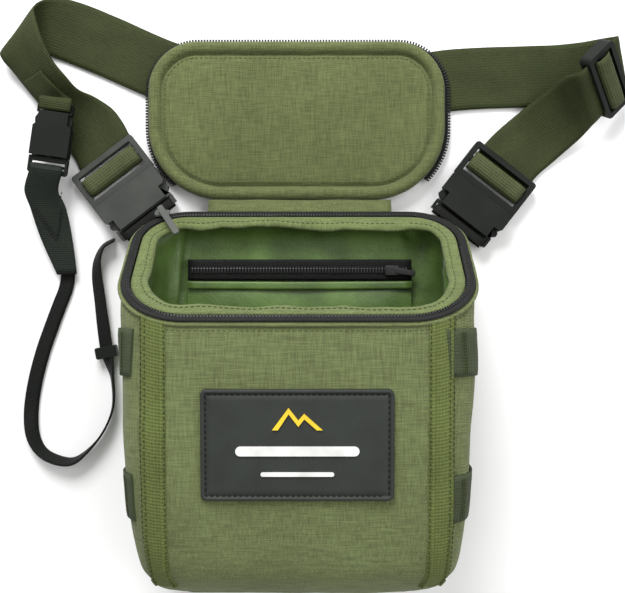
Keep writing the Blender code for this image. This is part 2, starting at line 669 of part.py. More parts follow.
def wrap_band(name, place, width, path, look, origin):
    """Webbing that wraps a bar: a path of (y, z) points swept across the buckle's width."""
    edges = [(place @ Vector((-width / 2, y, z)), place @ Vector((width / 2, y, z))) for y, z in path]
    return ribbon(name, edges, look, steps=2, origin=origin)


def flat_place(at, angle, height):
    """A buckle's place on the floor: its +Y along the given angle, its underside at the height."""
    return Matrix.Translation((at[0], at[1], height)) @ Matrix.Rotation(math.radians(angle - 90), 4, "Z")


def build_large_buckle(prefix, at, angle):
    place = flat_place(at, angle, 0.0006)
    build_buckle(prefix, place, LARGE_BUCKLE)
    top = 0.0088
    wrap = ((-0.0064, 0.0022), (-0.0064, 0.0072), (-0.0084, top), (-0.0146, top), (-0.0166, 0.0072),
            (-0.0166, 0.0022))
    wrap_band(f"{prefix}_strap_wrap", place, WEBBING, wrap, "green_webbing", place @ Vector((0, 0, 0.005)))
    size = LARGE_BUCKLE
    end = -(size.frame + GAP + size.sleeve + size.paddle + size.tail)
    middle = size.thickness / 2
    lift = 0.0030 + 0.0012
    slot = end + 0.0022 + 0.0013
    anchor = ((end - 0.0014, middle + lift), (end + 0.0008, middle + lift), (slot - 0.0006, middle + lift - 0.0004),
              (slot, middle + 0.0020), (slot, middle - 0.0020), (slot - 0.0006, middle - lift + 0.0004),
              (end + 0.0008, middle - lift), (end - 0.0014, middle - lift))
    wrap_band(f"{prefix}_anchor_webbing", place, WEBBING - 0.001, anchor, "black_webbing",
              place @ Vector((0, end, 0.005)))


# ---------------------------------------------------------------- harness webbing


def strap_point(stations, station, share, lift):
    """A point on the harness webbing: a share of the way across it, lifted off its surface."""
    low, high = (Vector(edge) for edge in stations[station])
    before = Vector(stations[station - 1][0]).lerp(Vector(stations[station - 1][1]), share)
    after = Vector(stations[station + 1][0]).lerp(Vector(stations[station + 1][1]), share)
    normal = (high - low).cross(after - before).normalized()
    if normal.z < 0:
        normal.negate()
    return low.lerp(high, share) + normal * lift


def build_harness():
    ribbon("harness_strap_back", STRAP_BACK, "green_webbing")
    ribbon("harness_strap_left", STRAP_LEFT, "green_webbing")
    ribbon("harness_strap_right", STRAP_RIGHT, "green_webbing")

    bar = TRI_GLIDE_BAR.normalized()
    cross = (TRI_GLIDE_CROSS - bar * TRI_GLIDE_CROSS.dot(bar)).normalized()
    up = bar.cross(cross)
    place = Matrix((
        (bar.x, cross.x, up.x, TRI_GLIDE_AT.x),
        (bar.y, cross.y, up.y, TRI_GLIDE_AT.y),
        (bar.z, cross.z, up.z, TRI_GLIDE_AT.z),
        (0, 0, 0, 1),
    ))
    half_length, half_width, half_thick = (size / 2 for size in TRI_GLIDE_SIZE)
    glide = slab("tri_glide", rounded_outline(-half_length, half_length, -half_width, half_width, 0.003, 0.003, 3),
                 -half_thick, half_thick, "moulded_plastic", place, TRI_GLIDE_AT)
    tunnel = half_length - 0.0034
    cut(glide, slab("glide_tunnel", rectangle(-tunnel, tunnel, -0.03, 0.03), -0.0020, 0.0020,
                    "moulded_plastic", place))
    for number, (low, high) in enumerate(((-0.0075, -0.0020), (0.0020, 0.0075))):
        cut(glide, slab(f"glide_slot_{number}", rectangle(-tunnel, tunnel, low, high), 0.0, 0.01,
                        "moulded_plastic", place))


def build_small_buckle():
    down = SMALL_BUCKLE_AXIS.normalized()
    across = Vector((0, 0, 1)).cross(down).normalized() * -1
    up = across.cross(down)
    size = SMALL_BUCKLE
    total = size.frame + GAP + size.sleeve + size.paddle + size.tail
    start = SMALL_BUCKLE_TOP + down * total - up * (size.thickness / 2)
    place = Matrix((
        (across.x, down.x, up.x, start.x),
        (across.y, down.y, up.y, start.y),
        (across.z, down.z, up.z, start.z),
        (0, 0, 0, 1),
    ))
    build_buckle("small", place, size)

    middle = size.thickness / 2
    leader_top = middle + 0.0034
    edges = [(place @ Vector((-0.0098, y, z)), place @ Vector((0.0098, y, z)))
             for y, z in ((-0.0052, middle - 0.0034), (-0.0052, middle + 0.0014), (-0.0040, leader_top),
                          (-0.0010, leader_top))]
    edges += [
        ((-0.1680, 0.1230, 0.0130), (-0.1475, 0.1215, 0.0130)),
        ((-0.1655, 0.1120, 0.0090), (-0.1440, 0.1120, 0.0090)),
        ((-0.1600, 0.0930, 0.0052), (-0.1410, 0.0930, 0.0052)),
        ((-0.1505, 0.0710, 0.0042), (-0.1385, 0.0715, 0.0042)),
    ]
    edges[4:] = [tuple(reversed(pair)) if across.x < 0 else pair for pair in edges[4:]]
    ribbon("leader_webbing", edges, "black_webbing", thickness=0.0018, origin=place @ Vector((0, 0, middle)))

    lift = 0.0020
    sewn = [(strap_point(STRAP_LEFT, station, low, lift), strap_point(STRAP_LEFT, station, high, lift))
            for station, low, high in ((7, 0.12, 0.66), (8, 0.14, 0.68), (9, 0.16, 0.72))]
    end = -total
    slot = end + 0.0022 + 0.0013
    wrap = ((end - 0.0030, middle + 0.0034), (slot - 0.0006, middle + 0.0034), (slot, middle + 0.0016),
            (slot, middle - 0.0020))
    sewn += [(place @ Vector((-0.0096, y, z)), place @ Vector((0.0096, y, z))) for y, z in wrap]
    if (sewn[0][1] - sewn[0][0]).dot(sewn[-1][1] - sewn[-1][0]) < 0:
        sewn[3:] = [tuple(reversed(pair)) for pair in sewn[3:]]
    ribbon("sewn_strap", sewn, "green_webbing", thickness=0.0012)


def build_tether():
    route = smooth_path(TETHER_ROUTE, 3)
    curve = bpy.data.curves.new("tether", "CURVE")
    curve.dimensions = "3D"
    curve.bevel_depth = TETHER_RADIUS
    curve.bevel_resolution = 2
    curve.use_fill_caps = True
    curve.materials.append(material("black_webbing"))
    spline = curve.splines.new("POLY")
    spline.points.add(len(route) - 1)
    for point, place in zip(spline.points, route):
        point.co = (*place, 1)
    bpy.context.collection.objects.link(bpy.data.objects.new("tether", curve))

    station = Vector(TETHER_ROUTE[TETHER_LOCK_STATION])
    along = (Vector(TETHER_ROUTE[TETHER_LOCK_STATION + 1])
             - Vector(TETHER_ROUTE[TETHER_LOCK_STATION - 1])).normalized()
    angle = math.atan2(along.y, along.x) - math.pi / 2
    place = Matrix.Translation((station.x, station.y, 0.0001)) @ Matrix.Rotation(angle, 4, "Z")
    lock = slab("tether_lock", rounded_outline(-0.0066, 0.0066, -0.0036, 0.0036, 0.0010, 0.0010, 2),
                0.0, 0.0066, "moulded_plastic", place, station)
    cut(lock, slab("lock_tunnel", rectangle(-0.0052, 0.0052, -0.01, 0.01), 0.0, 0.0044,
                   "moulded_plastic", place @ Matrix.Translation((0, 0, -0.0010))))
    round_edges(lock, 0.0003)


# ---------------------------------------------------------------- the whole pack

for leftover in list(bpy.data.objects):
    bpy.data.objects.remove(leftover)

build_body()
build_inner_pocket()
build_front()
build_side_loops()
build_lid()
build_zip_slider()
build_large_buckle("left", LEFT_BUCKLE_AT, LEFT_BUCKLE_ANGLE)
build_large_buckle("right", RIGHT_BUCKLE_AT, RIGHT_BUCKLE_ANGLE)
build_harness()
build_small_buckle()
build_tether()
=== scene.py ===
"""Binocular harness pack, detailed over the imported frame: padded heather fabric, satin lining, zips,
ribbed webbing, release buckles, a moulded patch and a loose tether. Metres, in the row frame."""

import math

import bmesh
import bpy
import numpy as np
from mathutils import Matrix, Vector, noise


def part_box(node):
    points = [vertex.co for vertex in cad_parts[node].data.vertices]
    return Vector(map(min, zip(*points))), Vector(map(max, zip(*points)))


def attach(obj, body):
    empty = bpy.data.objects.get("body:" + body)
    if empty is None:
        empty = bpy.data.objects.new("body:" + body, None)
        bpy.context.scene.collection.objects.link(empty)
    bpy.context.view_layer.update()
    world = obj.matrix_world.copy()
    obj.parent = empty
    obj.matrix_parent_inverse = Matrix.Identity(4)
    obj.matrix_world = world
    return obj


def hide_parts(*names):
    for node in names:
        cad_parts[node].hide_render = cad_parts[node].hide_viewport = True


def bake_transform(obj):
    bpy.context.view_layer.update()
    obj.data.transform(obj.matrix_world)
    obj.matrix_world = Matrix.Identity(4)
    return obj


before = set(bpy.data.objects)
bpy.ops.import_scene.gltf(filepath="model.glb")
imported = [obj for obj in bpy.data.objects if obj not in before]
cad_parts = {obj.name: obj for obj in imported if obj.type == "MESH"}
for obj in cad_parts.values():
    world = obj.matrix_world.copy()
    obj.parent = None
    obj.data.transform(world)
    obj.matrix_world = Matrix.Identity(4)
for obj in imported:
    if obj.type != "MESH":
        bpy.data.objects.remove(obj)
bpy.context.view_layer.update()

# ---------------------------------------------------------------- camera


def add_object(name, data):
    made = bpy.data.objects.new(name, data)
    bpy.context.collection.objects.link(made)
    return made


camera = add_object("camera", bpy.data.cameras.new("camera"))
camera.location = (0.0078, 0.0575, 0.560)
camera.data.lens = 51.6
camera.data.sensor_width = 36.0
camera.data.clip_start = 0.01
bpy.context.scene.camera = camera
bpy.context.scene.view_settings.view_transform = "Standard"

# ---------------------------------------------------------------- node materials


class Nodes:
    """A small builder for one material's nodes."""

    def __init__(self, name, colour, roughness, specular=0.5):
        self.material = bpy.data.materials.new(name)
        self.material.use_nodes = True
        self.tree = self.material.node_tree
        self.shader = self.tree.nodes["Principled BSDF"]
        self.shader.inputs["Base Color"].default_value = (*colour, 1)
        self.shader.inputs["Roughness"].default_value = roughness
        self.shader.inputs["Specular IOR Level"].default_value = specular

    def link(self, source, target):
        self.tree.links.new(source, target)

    def add(self, kind, **values):
        made = self.tree.nodes.new(kind)
        for key, value in values.items():
            setattr(made, key, value)
        return made

    def coordinates(self, output="Object", scale=(1, 1, 1)):
        source = self.add("ShaderNodeTexCoord")
        mapping = self.add("ShaderNodeMapping")
        mapping.inputs["Scale"].default_value = scale
        self.link(source.outputs[output], mapping.inputs["Vector"])
        return mapping.outputs["Vector"]

    def noise(self, vector, scale, detail):
        made = self.add("ShaderNodeTexNoise")
        made.inputs["Scale"].default_value = scale
        made.inputs["Detail"].default_value = detail
        self.link(vector, made.inputs["Vector"])
        return made.outputs["Fac"]

    def math(self, operation, a, b=0.5):
        made = self.add("ShaderNodeMath", operation=operation)
        for socket, value in zip(made.inputs, (a, b)):
            if isinstance(value, (int, float)):
                socket.default_value = value
            else:
                self.link(value, socket)
        return made.outputs[0]

    def ramp(self, factor, stops):
        made = self.add("ShaderNodeValToRGB")
        elements = made.color_ramp.elements
        while len(elements) < len(stops):
            elements.new(0.5)
        for element, (position, colour) in zip(elements, stops):
            element.position = position
            element.color = (*colour, 1)
        self.link(factor, made.inputs["Fac"])
        return made.outputs["Color"]

    def multiply(self, a, b):
        """One colour times another."""
        made = self.add("ShaderNodeMix", data_type="RGBA", blend_type="MULTIPLY")
        made.inputs[0].default_value = 1.0
        self.link(a, made.inputs[6])
        self.link(b, made.inputs[7])
        return made.outputs[2]

    def bump(self, height, strength, distance):
        made = self.add("ShaderNodeBump")
        made.inputs["Strength"].default_value = strength
        made.inputs["Distance"].default_value = distance
        self.link(height, made.inputs["Height"])
        self.link(made.outputs["Normal"], self.shader.inputs["Normal"])

    def colour(self, value):
        self.link(value, self.shader.inputs["Base Color"])

    def waves(self, place, pitch):
        """A sine wave with this pitch."""
        return self.math("SINE", self.math("MULTIPLY", place, 2 * math.pi / pitch))

    def sheen(self, weight, roughness):
        self.shader.inputs["Sheen Weight"].default_value = weight
        self.shader.inputs["Sheen Roughness"].default_value = roughness


def shade(colour, factor):
    return tuple(channel * factor for channel in colour)


THREAD_PITCH, WARP_PITCH = 0.00125, 0.0017


def heather(name, colour, contrast=0.32):
    """Woven cloth: crossed threads, long flecked streaks both ways, and large soft fading."""
    n = Nodes(name, colour, 0.86, 0.15)
    parts = n.add("ShaderNodeSeparateXYZ")
    n.link(n.coordinates(), parts.inputs[0])
    sideways = n.math("ADD", parts.outputs["X"], parts.outputs["Z"])
    weave = n.math("MULTIPLY", n.waves(sideways, THREAD_PITCH), n.waves(parts.outputs["Y"], THREAD_PITCH))
    warp = n.noise(n.coordinates(scale=(1500, 95, 1500)), 1, 1)
    weft = n.noise(n.coordinates(scale=(95, 1500, 95)), 1, 1)
    fleck = n.math("ADD", n.math("MULTIPLY", warp, 0.5), n.math("MULTIPLY", weft, 0.5))
    level = n.math("ADD", fleck, n.math("MULTIPLY", weave, 0.085))
    base = n.ramp(level, ((0.32, shade(colour, 1 - contrast)), (0.50, colour), (0.68, shade(colour, 1 + contrast))))
    fading = n.ramp(n.noise(n.coordinates(), 14, 3), ((0.30, (0.88, 0.88, 0.86)), (0.70, (1.08, 1.08, 1.06))))
    n.colour(n.multiply(base, fading))
    n.bump(n.math("ADD", n.math("MULTIPLY", weave, 0.5), fleck), 0.5, 0.0005)
    n.sheen(0.08, 0.5)
    return n.material


def satin(name, colour):
    """Thin shiny lining: fine threads, soft random tone changes stretched into painted shade and painted highlight,
    and a wide highlight from its gloss and sheen.
    """
    n = Nodes(name, colour, 0.42)
    tone_with_painted_light = n.noise(n.coordinates(), 34, 4)
    # Colour ramp: random tone, with its dark end widened into painted shade and its bright end into painted highlight.
    n.colour(n.ramp(tone_with_painted_light, ((0.30, shade(colour, 0.62)), (0.52, colour), (0.72, shade(colour, 1.45)))))
    threads = n.noise(n.coordinates(scale=(2600, 500, 500)), 1, 1)
    n.bump(n.math("ADD", threads, n.math("MULTIPLY", n.noise(n.coordinates(), 90, 3), 2.0)), 0.35, 0.0008)
    n.sheen(0.35, 0.3)
    return n.material


def webbing(name, colour, rib=0.0013, contrast=0.30, roughness=0.72):
    """Woven strap from UVs in metres: ribs across it, thin warp lines along it and streaky threads."""
    n = Nodes(name, colour, roughness, 0.12)
    uv = n.add("ShaderNodeTexCoord")
    parts = n.add("ShaderNodeSeparateXYZ")
    n.link(uv.outputs["UV"], parts.inputs[0])
    ribs, lines = n.waves(parts.outputs["X"], rib), n.waves(parts.outputs["Y"], WARP_PITCH)
    weave = n.math("ADD", n.math("MULTIPLY", ribs, 0.20), n.math("MULTIPLY", lines, 0.10))
    speck = n.noise(n.coordinates("UV", (260, 1500, 1)), 1, 2)
    level = n.math("ADD", weave, speck)
    base = n.ramp(level, ((0.10, shade(colour, 1 - contrast)), (0.50, colour), (0.95, shade(colour, 1 + contrast))))
    cloud = n.noise(n.coordinates("UV", (30, 60, 1)), 1, 3)
    fading = n.ramp(cloud, ((0.3, (0.85, 0.85, 0.85)), (0.7, (1.12, 1.12, 1.1))))
    n.colour(n.multiply(base, fading))
    n.bump(level, 0.7, 0.0005)
    return n.material


def moulded(name, colour, roughness, grain=0.25, specular=0.32):
    """Injection-moulded plastic or rubber: fine grain, uneven gloss and paler wear."""
    n = Nodes(name, colour, roughness, specular)
    cloud = n.noise(n.coordinates(), 60, 4)
    n.colour(n.ramp(cloud, ((0.30, shade(colour, 0.86)), (0.72, shade(colour, 1.22)))))
    gloss = n.add("ShaderNodeMapRange")
    gloss.inputs["To Min"].default_value = roughness - 0.07
    gloss.inputs["To Max"].default_value = roughness + 0.12
    n.link(n.noise(n.coordinates(), 170, 3), gloss.inputs["Value"])
    n.link(gloss.outputs[0], n.shader.inputs["Roughness"])
    n.bump(n.noise(n.coordinates(), 2600, 2), grain, 0.0002)
    return n.material


def thread(name, colour):
    n = Nodes(name, colour, 0.75, 0.2)
    twist = n.noise(n.coordinates(scale=(1500, 1500, 1500)), 1, 1)
    n.colour(n.ramp(twist, ((0.3, shade(colour, 0.7)), (0.7, shade(colour, 1.25)))))
    n.bump(twist, 0.4, 0.0002)
    return n.material


CLOTH = heather("cloth_olive", (0.132, 0.158, 0.066))
LID_CLOTH = heather("cloth_lid", (0.106, 0.126, 0.050), 0.34)
HEM_CLOTH = heather("cloth_hem", (0.128, 0.160, 0.062), 0.30)
PANEL_CLOTH = heather("cloth_back_panel", (0.075, 0.090, 0.040), 0.30)
SATIN = satin("satin_lining", (0.072, 0.130, 0.025))
STRAP = webbing("webbing_olive", (0.036, 0.045, 0.017))
# A lighter copy of the strap webbing for its bends over bars: painted light on the raised webbing.
STRAP_PAINTED_LIT = webbing("webbing_olive_painted_lit", (0.060, 0.072, 0.032), 0.0016, 0.38)
TAPE = webbing("webbing_front_tape", (0.105, 0.130, 0.040), 0.0018, 0.30)
LOOP = webbing("webbing_loop", (0.050, 0.062, 0.034), 0.0015, 0.26)
LEADER = webbing("webbing_leader", (0.015, 0.019, 0.015), 0.0014, 0.30, 0.6)
BLACK = webbing("webbing_black", (0.008, 0.009, 0.008), 0.0012, 0.35, 0.6)
ZIP_TAPE = moulded("zip_tape_black", (0.008, 0.009, 0.008), 0.8, 0.6)
TEETH = moulded("zip_teeth_black", (0.014, 0.015, 0.014), 0.34)
PLASTIC_GREY = moulded("plastic_grey", (0.040, 0.043, 0.038), 0.42)
PLASTIC_DARK = moulded("plastic_dark", (0.010, 0.012, 0.010), 0.44, 0.25, 0.12)
RUBBER = moulded("rubber_patch", (0.022, 0.026, 0.022), 0.58, 0.5)
EMBLEM = moulded("rubber_yellow", (0.72, 0.50, 0.03), 0.5)
EMBLEM_WHITE = moulded("rubber_white", (0.70, 0.70, 0.68), 0.5)
PULL = moulded("pull_grey", (0.085, 0.090, 0.082), 0.45)
THREAD_DARK = thread("thread_dark", (0.045, 0.056, 0.020))
THREAD_GREEN = thread("thread_green", (0.085, 0.105, 0.040))
THREAD_BLACK = thread("thread_black", (0.010, 0.010, 0.010))

# ---------------------------------------------------------------- mesh helpers

UP = Vector((0, 0, 1))


def finish_piece(name, mesh, look, body, slot, smooth=True):
    """Makes a mesh an object that wears the given material and rides on a body."""
    for polygon in mesh.polygons:
        polygon.use_smooth = smooth
    mesh.materials.append(look)
    made = add_object(name, mesh)
    if body:
        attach(made, body)
    return made


def piece(name, points, faces, look, body, slot, uvs=None, smooth=True):
    """One mesh piece from its points and faces."""
    mesh = bpy.data.meshes.new(name)
    mesh.from_pydata([tuple(point) for point in points], [], faces)
    if uvs:
        layer = mesh.uv_layers.new(name="UVMap")
        for loop in mesh.loops:
            layer.data[loop.index].uv = uvs[loop.vertex_index]
    return finish_piece(name, mesh, look, body, slot, smooth)


def grid_faces(rows, columns, wrap_rows=False, wrap_columns=False):
    faces = []
    for row in range(rows if wrap_rows else rows - 1):
        after = (row + 1) % rows
        for column in range(columns if wrap_columns else columns - 1):
            right = (column + 1) % columns
            faces.append((row * columns + column, row * columns + right,
                          after * columns + right, after * columns + column))
    return faces


def grid(name, rows, look, body, slot, wrap_rows=False, wrap_columns=False, uvs=None, **options):
    """A surface through rows of points."""
    points = [point for row in rows for point in row]
    return piece(name, points, grid_faces(len(rows), len(rows[0]), wrap_rows, wrap_columns), look, body, slot,
                 uvs and [uv for row in uvs for uv in row], **options)


def clamp(value):
    """The value, kept from 0 to 1."""
    return min(1.0, max(0.0, value))


def arc(x, y, radius, start, steps, ends=0, sweep=90):
    """(x, y) along an arc of so many degrees; with ends=1, its last point too."""
    angles = (math.radians(start + sweep * step / steps) for step in range(steps + ends))
    return [(x + radius * math.cos(angle), y + radius * math.sin(angle)) for angle in angles]


def descend(above, rounds=40):
    """The place down the bag where above(s) stops being true."""
    low, high = 0.0, float(LAST)
    for _ in range(rounds):
        middle = (low + high) / 2
        if above(middle):
            low = middle
        else:
            high = middle
    return (low + high) / 2


def smooth_path(points, steps):
    """Points on a Catmull-Rom curve through the given ones."""
    points = [Vector(point) for point in points]
    ends = [2 * points[0] - points[1]] + points + [2 * points[-1] - points[-2]]
    found = []
    for index in range(1, len(ends) - 2):
        before, start, end, after = ends[index - 1:index + 3]
        for step in range(steps):
            t = step / steps
            found.append(0.5 * (2 * start + (end - before) * t
                                + (2 * before - 5 * start + 4 * end - after) * t ** 2
                                + (3 * start - before - 3 * end + after) * t ** 3))
    return found + [points[-1]]


def lengths(points):
    """The distance along a path at each of its points."""
    total, found = 0.0, [0.0]
    for a, b in zip(points, points[1:]):
        total += (b - a).length
        found.append(total)
    return found


def even(points, count):
    """The same path with evenly spaced points."""
    marks = lengths(points)
    found, index = [], 0
    for step in range(count):
        target = marks[-1] * step / (count - 1)
        while index < len(points) - 2 and marks[index + 1] < target:
            index += 1
        share = (target - marks[index]) / max(marks[index + 1] - marks[index], 1e-9)
        found.append(points[index].lerp(points[index + 1], min(max(share, 0), 1)))
    return found


def ribbon(name, edges, look, body, slot, thickness, steps, across, wave=0.0, replaces=()):
    """Webbing between two edge lines, with its thickness, slightly rounded edges and UVs in metres."""
    low = smooth_path([pair[0] for pair in edges], steps)
    high = smooth_path([pair[1] for pair in edges], steps)
    middle = [(a + b) / 2 for a, b in zip(low, high)]
    marks = lengths(middle)
    rows, uvs = [], []
    for index, (a, b) in enumerate(zip(low, high)):
        along = middle[min(index + 1, len(middle) - 1)] - middle[max(index - 1, 0)]
        normal = (b - a).cross(along).normalized()
        width = (b - a).length
        top, bottom, top_uv, bottom_uv = [], [], [], []
        for step in range(across + 1):
            share = step / across
            at = a.lerp(b, share)
            lift = wave * noise.noise(at * 60)
            edge = 0.72 if step in (0, across) else 1.0
            top.append(at + normal * (lift + thickness / 2 * edge))
            bottom.append(at + normal * (lift - thickness / 2 * edge))
            top_uv.append((marks[index], share * width))
            bottom_uv.append((marks[index], -share * width))
        rows.append(top + bottom[::-1])
        uvs.append(top_uv + bottom_uv[::-1])
    made = grid(name, rows, look, body, slot, wrap_columns=True, uvs=uvs)
    close_ends(made, len(rows[0]))
    if replaces:
        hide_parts(*replaces)
    return made


def close(made, *loops):
    """Adds one flat face over each loop of point numbers, and turns every face outwards."""
    work = bmesh.new()
    work.from_mesh(made.data)
    work.verts.ensure_lookup_table()
    for loop in loops:
        work.faces.new([work.verts[index] for index in loop])
    bmesh.ops.recalc_face_normals(work, faces=work.faces)
    work.to_mesh(made.data)
    work.free()


def close_ends(made, columns):
    """Closes a tube of rings that have this many points."""
    count = len(made.data.vertices)
    close(made, range(columns), range(count - columns, count))


def close_loops(made, columns, loops):
    """Closes a swept surface over these of its loops."""
    close(made, *(range(loop, len(made.data.vertices), columns) for loop in loops))


def walk(path, pitch):
    """(point, direction, index of the path's point before it) at even steps along a path."""
    marks = lengths(path)
    index = 0
    for number in range(int(marks[-1] / pitch)):
        target = (number + 0.5) * pitch
        while index < len(path) - 2 and marks[index + 1] < target:
            index += 1
        share = (target - marks[index]) / max(marks[index + 1] - marks[index], 1e-9)
        yield path[index].lerp(path[index + 1], share), (path[index + 1] - path[index]).normalized(), index


STITCH_SIDES = 6
STITCH_RINGS = ((-0.5, 0.35), (-0.25, 1.0), (0.25, 1.0), (0.5, 0.35))  # shares of its length and of its radius
STITCH_SUNK = 0.35  # how high a stitch's middle lies over the cloth, in radii


def stitches(name, runs, look, body, slot, pitch, length, radius):
    """Raised stitches in a row. Each run is a path of points lying on the cloth, with its normals."""
    points, faces = [], []
    last = (len(STITCH_RINGS) - 1) * STITCH_SIDES
    for path, normals in runs:
        for at, along, index in walk(path, pitch):
            up = normals[min(index, len(normals) - 1)]
            side = along.cross(up).normalized()
            start = len(points)
            for offset, size in STITCH_RINGS:
                centre = at + along * (offset * length) + up * (radius * STITCH_SUNK * size)
                for corner in range(STITCH_SIDES):
                    a = math.radians(corner * 360 / STITCH_SIDES)
                    points.append(centre + side * (math.cos(a) * radius * size)
                                  + up * (math.sin(a) * radius * size))
            faces += [tuple(start + corner for corner in face)
                      for face in grid_faces(len(STITCH_RINGS), STITCH_SIDES, wrap_columns=True)]
            faces.append(tuple(start + corner for corner in reversed(range(STITCH_SIDES))))
            faces.append(tuple(start + last + corner for corner in range(STITCH_SIDES)))
    return piece(name, points, faces, look, body, slot)


# ---------------------------------------------------------------- the tether, webbing lying on the table

TETHER_WIDTH, TETHER_THICKNESS = 0.0088, 0.0013
TETHER_ROUTE = (
    (-0.1444, 0.0740), (-0.1452, 0.0660), (-0.1468, 0.0600), (-0.1494, 0.0535), (-0.1548, 0.0390), (-0.1606, 0.0220),
    (-0.1655, 0.0020), (-0.1675, -0.0160), (-0.1650, -0.0310), (-0.1570, -0.0410), (-0.1430, -0.0450),
    (-0.1328, -0.0395), (-0.1222, -0.0270), (-0.1158, -0.0110), (-0.1162, 0.0070), (-0.1200, 0.0230),
    (-0.1222, 0.0380), (-0.1242, 0.0550), (-0.1260, 0.0700), (-0.1256, 0.0800), (-0.1218, 0.0885),
    (-0.1150, 0.0925),
)


def tether_tilt(share):
    """How far the webbing stands on its edge, in degrees, by the share of its length."""
    stops = ((0.0, 0), (0.30, 8), (0.42, 62), (0.55, 84), (0.68, 72), (0.76, 20), (0.88, 34), (1.0, 74))
    for (a, low), (b, high) in zip(stops, stops[1:]):
        if a <= share <= b:
            t = (share - a) / (b - a)
            return low + (high - low) * t * t * (3 - 2 * t)
    return stops[-1][1]


def make_tether():
    """Flat webbing along the route, standing on its edge where it turns."""
    flat = even(smooth_path([(x, y, 0) for x, y in TETHER_ROUTE], 8), 150)
    path, rows, uvs = [], [], []
    for index, point in enumerate(flat):
        share = index / (len(flat) - 1)
        tilt = math.radians(tether_tilt(share))
        path.append(Vector((point.x, point.y, 0.0009 + TETHER_WIDTH / 2 * math.sin(tilt))))
    marks = lengths(path)
    for index, point in enumerate(path):
        tilt = math.radians(tether_tilt(index / (len(path) - 1)))
        along = (path[min(index + 1, len(path) - 1)] - path[max(index - 1, 0)]).normalized()
        side = along.cross(UP).normalized()
        across = side * math.cos(tilt) + UP * math.sin(tilt)
        normal = across.cross(along).normalized()
        row, row_uv = [], []
        for u, v in ((-1, -0.5), (-0.97, 1), (-0.4, 1), (0.4, 1), (0.97, 1), (1, 0.5), (1, -0.5), (0.97, -1),
                     (0.4, -1), (-0.4, -1), (-0.97, -1)):
            row.append(point + across * (u * TETHER_WIDTH / 2) + normal * (v * TETHER_THICKNESS / 2))
            row_uv.append((marks[index], u * TETHER_WIDTH / 2 * (1 if v > 0 else -1)))
        rows.append(row)
        uvs.append(row_uv)
    tether = grid("tether_webbing", rows, BLACK, "bag", "black_webbing", wrap_columns=True, uvs=uvs)
    close_ends(tether, len(rows[0]))
    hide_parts("tether")
    tuple(path[0])
    [tuple(p) for p in path]


make_tether()

# ---------------------------------------------------------------- the bag's surface

STATIONS = (
    (0.1080, 0.0150, 0.0445, 0.0980, 0.0965, 0.031, 0.038),
    (0.0960, 0.0052, 0.0230, 0.0978, 0.0970, 0.026, 0.034),
    (0.0600, 0.0041, -0.0050, 0.0970, 0.0965, 0.020, 0.030),
    (0.0000, 0.0041, -0.0380, 0.0950, 0.0953, 0.017, 0.028),
    (-0.0500, 0.0041, -0.0660, 0.0920, 0.0935, 0.016, 0.027),
    (-0.0850, 0.0046, -0.0870, 0.0870, 0.0895, 0.016, 0.026),
    (-0.0990, 0.0085, -0.0980, 0.0780, 0.0855, 0.015, 0.024),
    (-0.1060, 0.0180, -0.1050, 0.0660, 0.0805, 0.014, 0.020),
    (-0.1085, 0.0270, -0.1080, 0.0560, 0.0740, 0.012, 0.013),
)
LAST = len(STATIONS) - 1
BACK_STEPS, SIDE_STEPS, FRONT_STEPS, CORNER_STEPS = 26, 14, 44, 10
MOUTH_BACK, MOUTH_FRONT = Vector((0, 0.1080, 0.0150)), Vector((0, 0.0445, 0.0980))
MOUTH_ACROSS = (MOUTH_FRONT - MOUTH_BACK).normalized()
MOUTH_UP = Vector((0, MOUTH_ACROSS.z, -MOUTH_ACROSS.y))
MOUTH_DEPTH = (MOUTH_FRONT - MOUTH_BACK).length
TAPE_X, TAPE_WIDTH, TAPE_FROM_SIDE = 0.0752, 0.0112, 0.0135
INSET_TO_LINING = 0.0076


def station(s):
    """The section's dimensions at any place down the bag."""
    s = min(max(s, 0.0), float(LAST))
    index = min(int(s), LAST - 1)
    t = s - index
    row = [STATIONS[min(max(index + shift, 0), LAST)] for shift in (-1, 0, 1, 2)]
    if index == 0:
        row[0] = tuple(2 * a - b for a, b in zip(row[1], row[2]))
    return [0.5 * (2 * b + (c - a) * t + (2 * a - 5 * b + 4 * c - d) * t ** 2 + (3 * b - a - 3 * c + d) * t ** 3)
            for a, b, c, d in zip(*row)]


def section(s, inset):
    """(point, region) round a section; insets move each side and corner inwards in its plane."""
    back_y, back_z, front_y, front_z, half, back_radius, front_radius = station(s)
    back = Vector((0, back_y, back_z))
    across = Vector((0, front_y, front_z)) - back
    depth = across.length - 2 * inset
    across.normalize()
    back = back + across * inset
    half -= inset
    back_radius, front_radius = max(back_radius - inset, 0.004), max(front_radius - inset, 0.004)

    def corner(x, t, radius, start):
        return [(*point, "corner") for point in arc(x, t, radius, start, CORNER_STEPS)]

    def straight(x0, t0, x1, t1, steps, region):
        return [(x0 + (x1 - x0) * step / steps, t0 + (t1 - t0) * step / steps, region) for step in range(steps)]

    inner_back, inner_front = half - back_radius, half - front_radius
    around = (straight(-inner_back, 0, inner_back, 0, BACK_STEPS, "back")
              + corner(inner_back, back_radius, back_radius, 270)
              + straight(half, back_radius, half, depth - front_radius, SIDE_STEPS, "side")
              + corner(inner_front, depth - front_radius, front_radius, 0)
              + straight(inner_front, depth, -inner_front, depth, FRONT_STEPS, "front")
              + corner(-inner_front, depth - front_radius, front_radius, 90)
              + straight(-half, depth - front_radius, -half, back_radius, SIDE_STEPS, "side")
              + corner(-inner_back, back_radius, back_radius, 180))
    return [(back + across * t + Vector((x, 0, 0)), region) for x, t, region in around]


def outline(s, inset=0.0):
    """The points round a section."""
    return [point for point, _ in section(s, inset)]


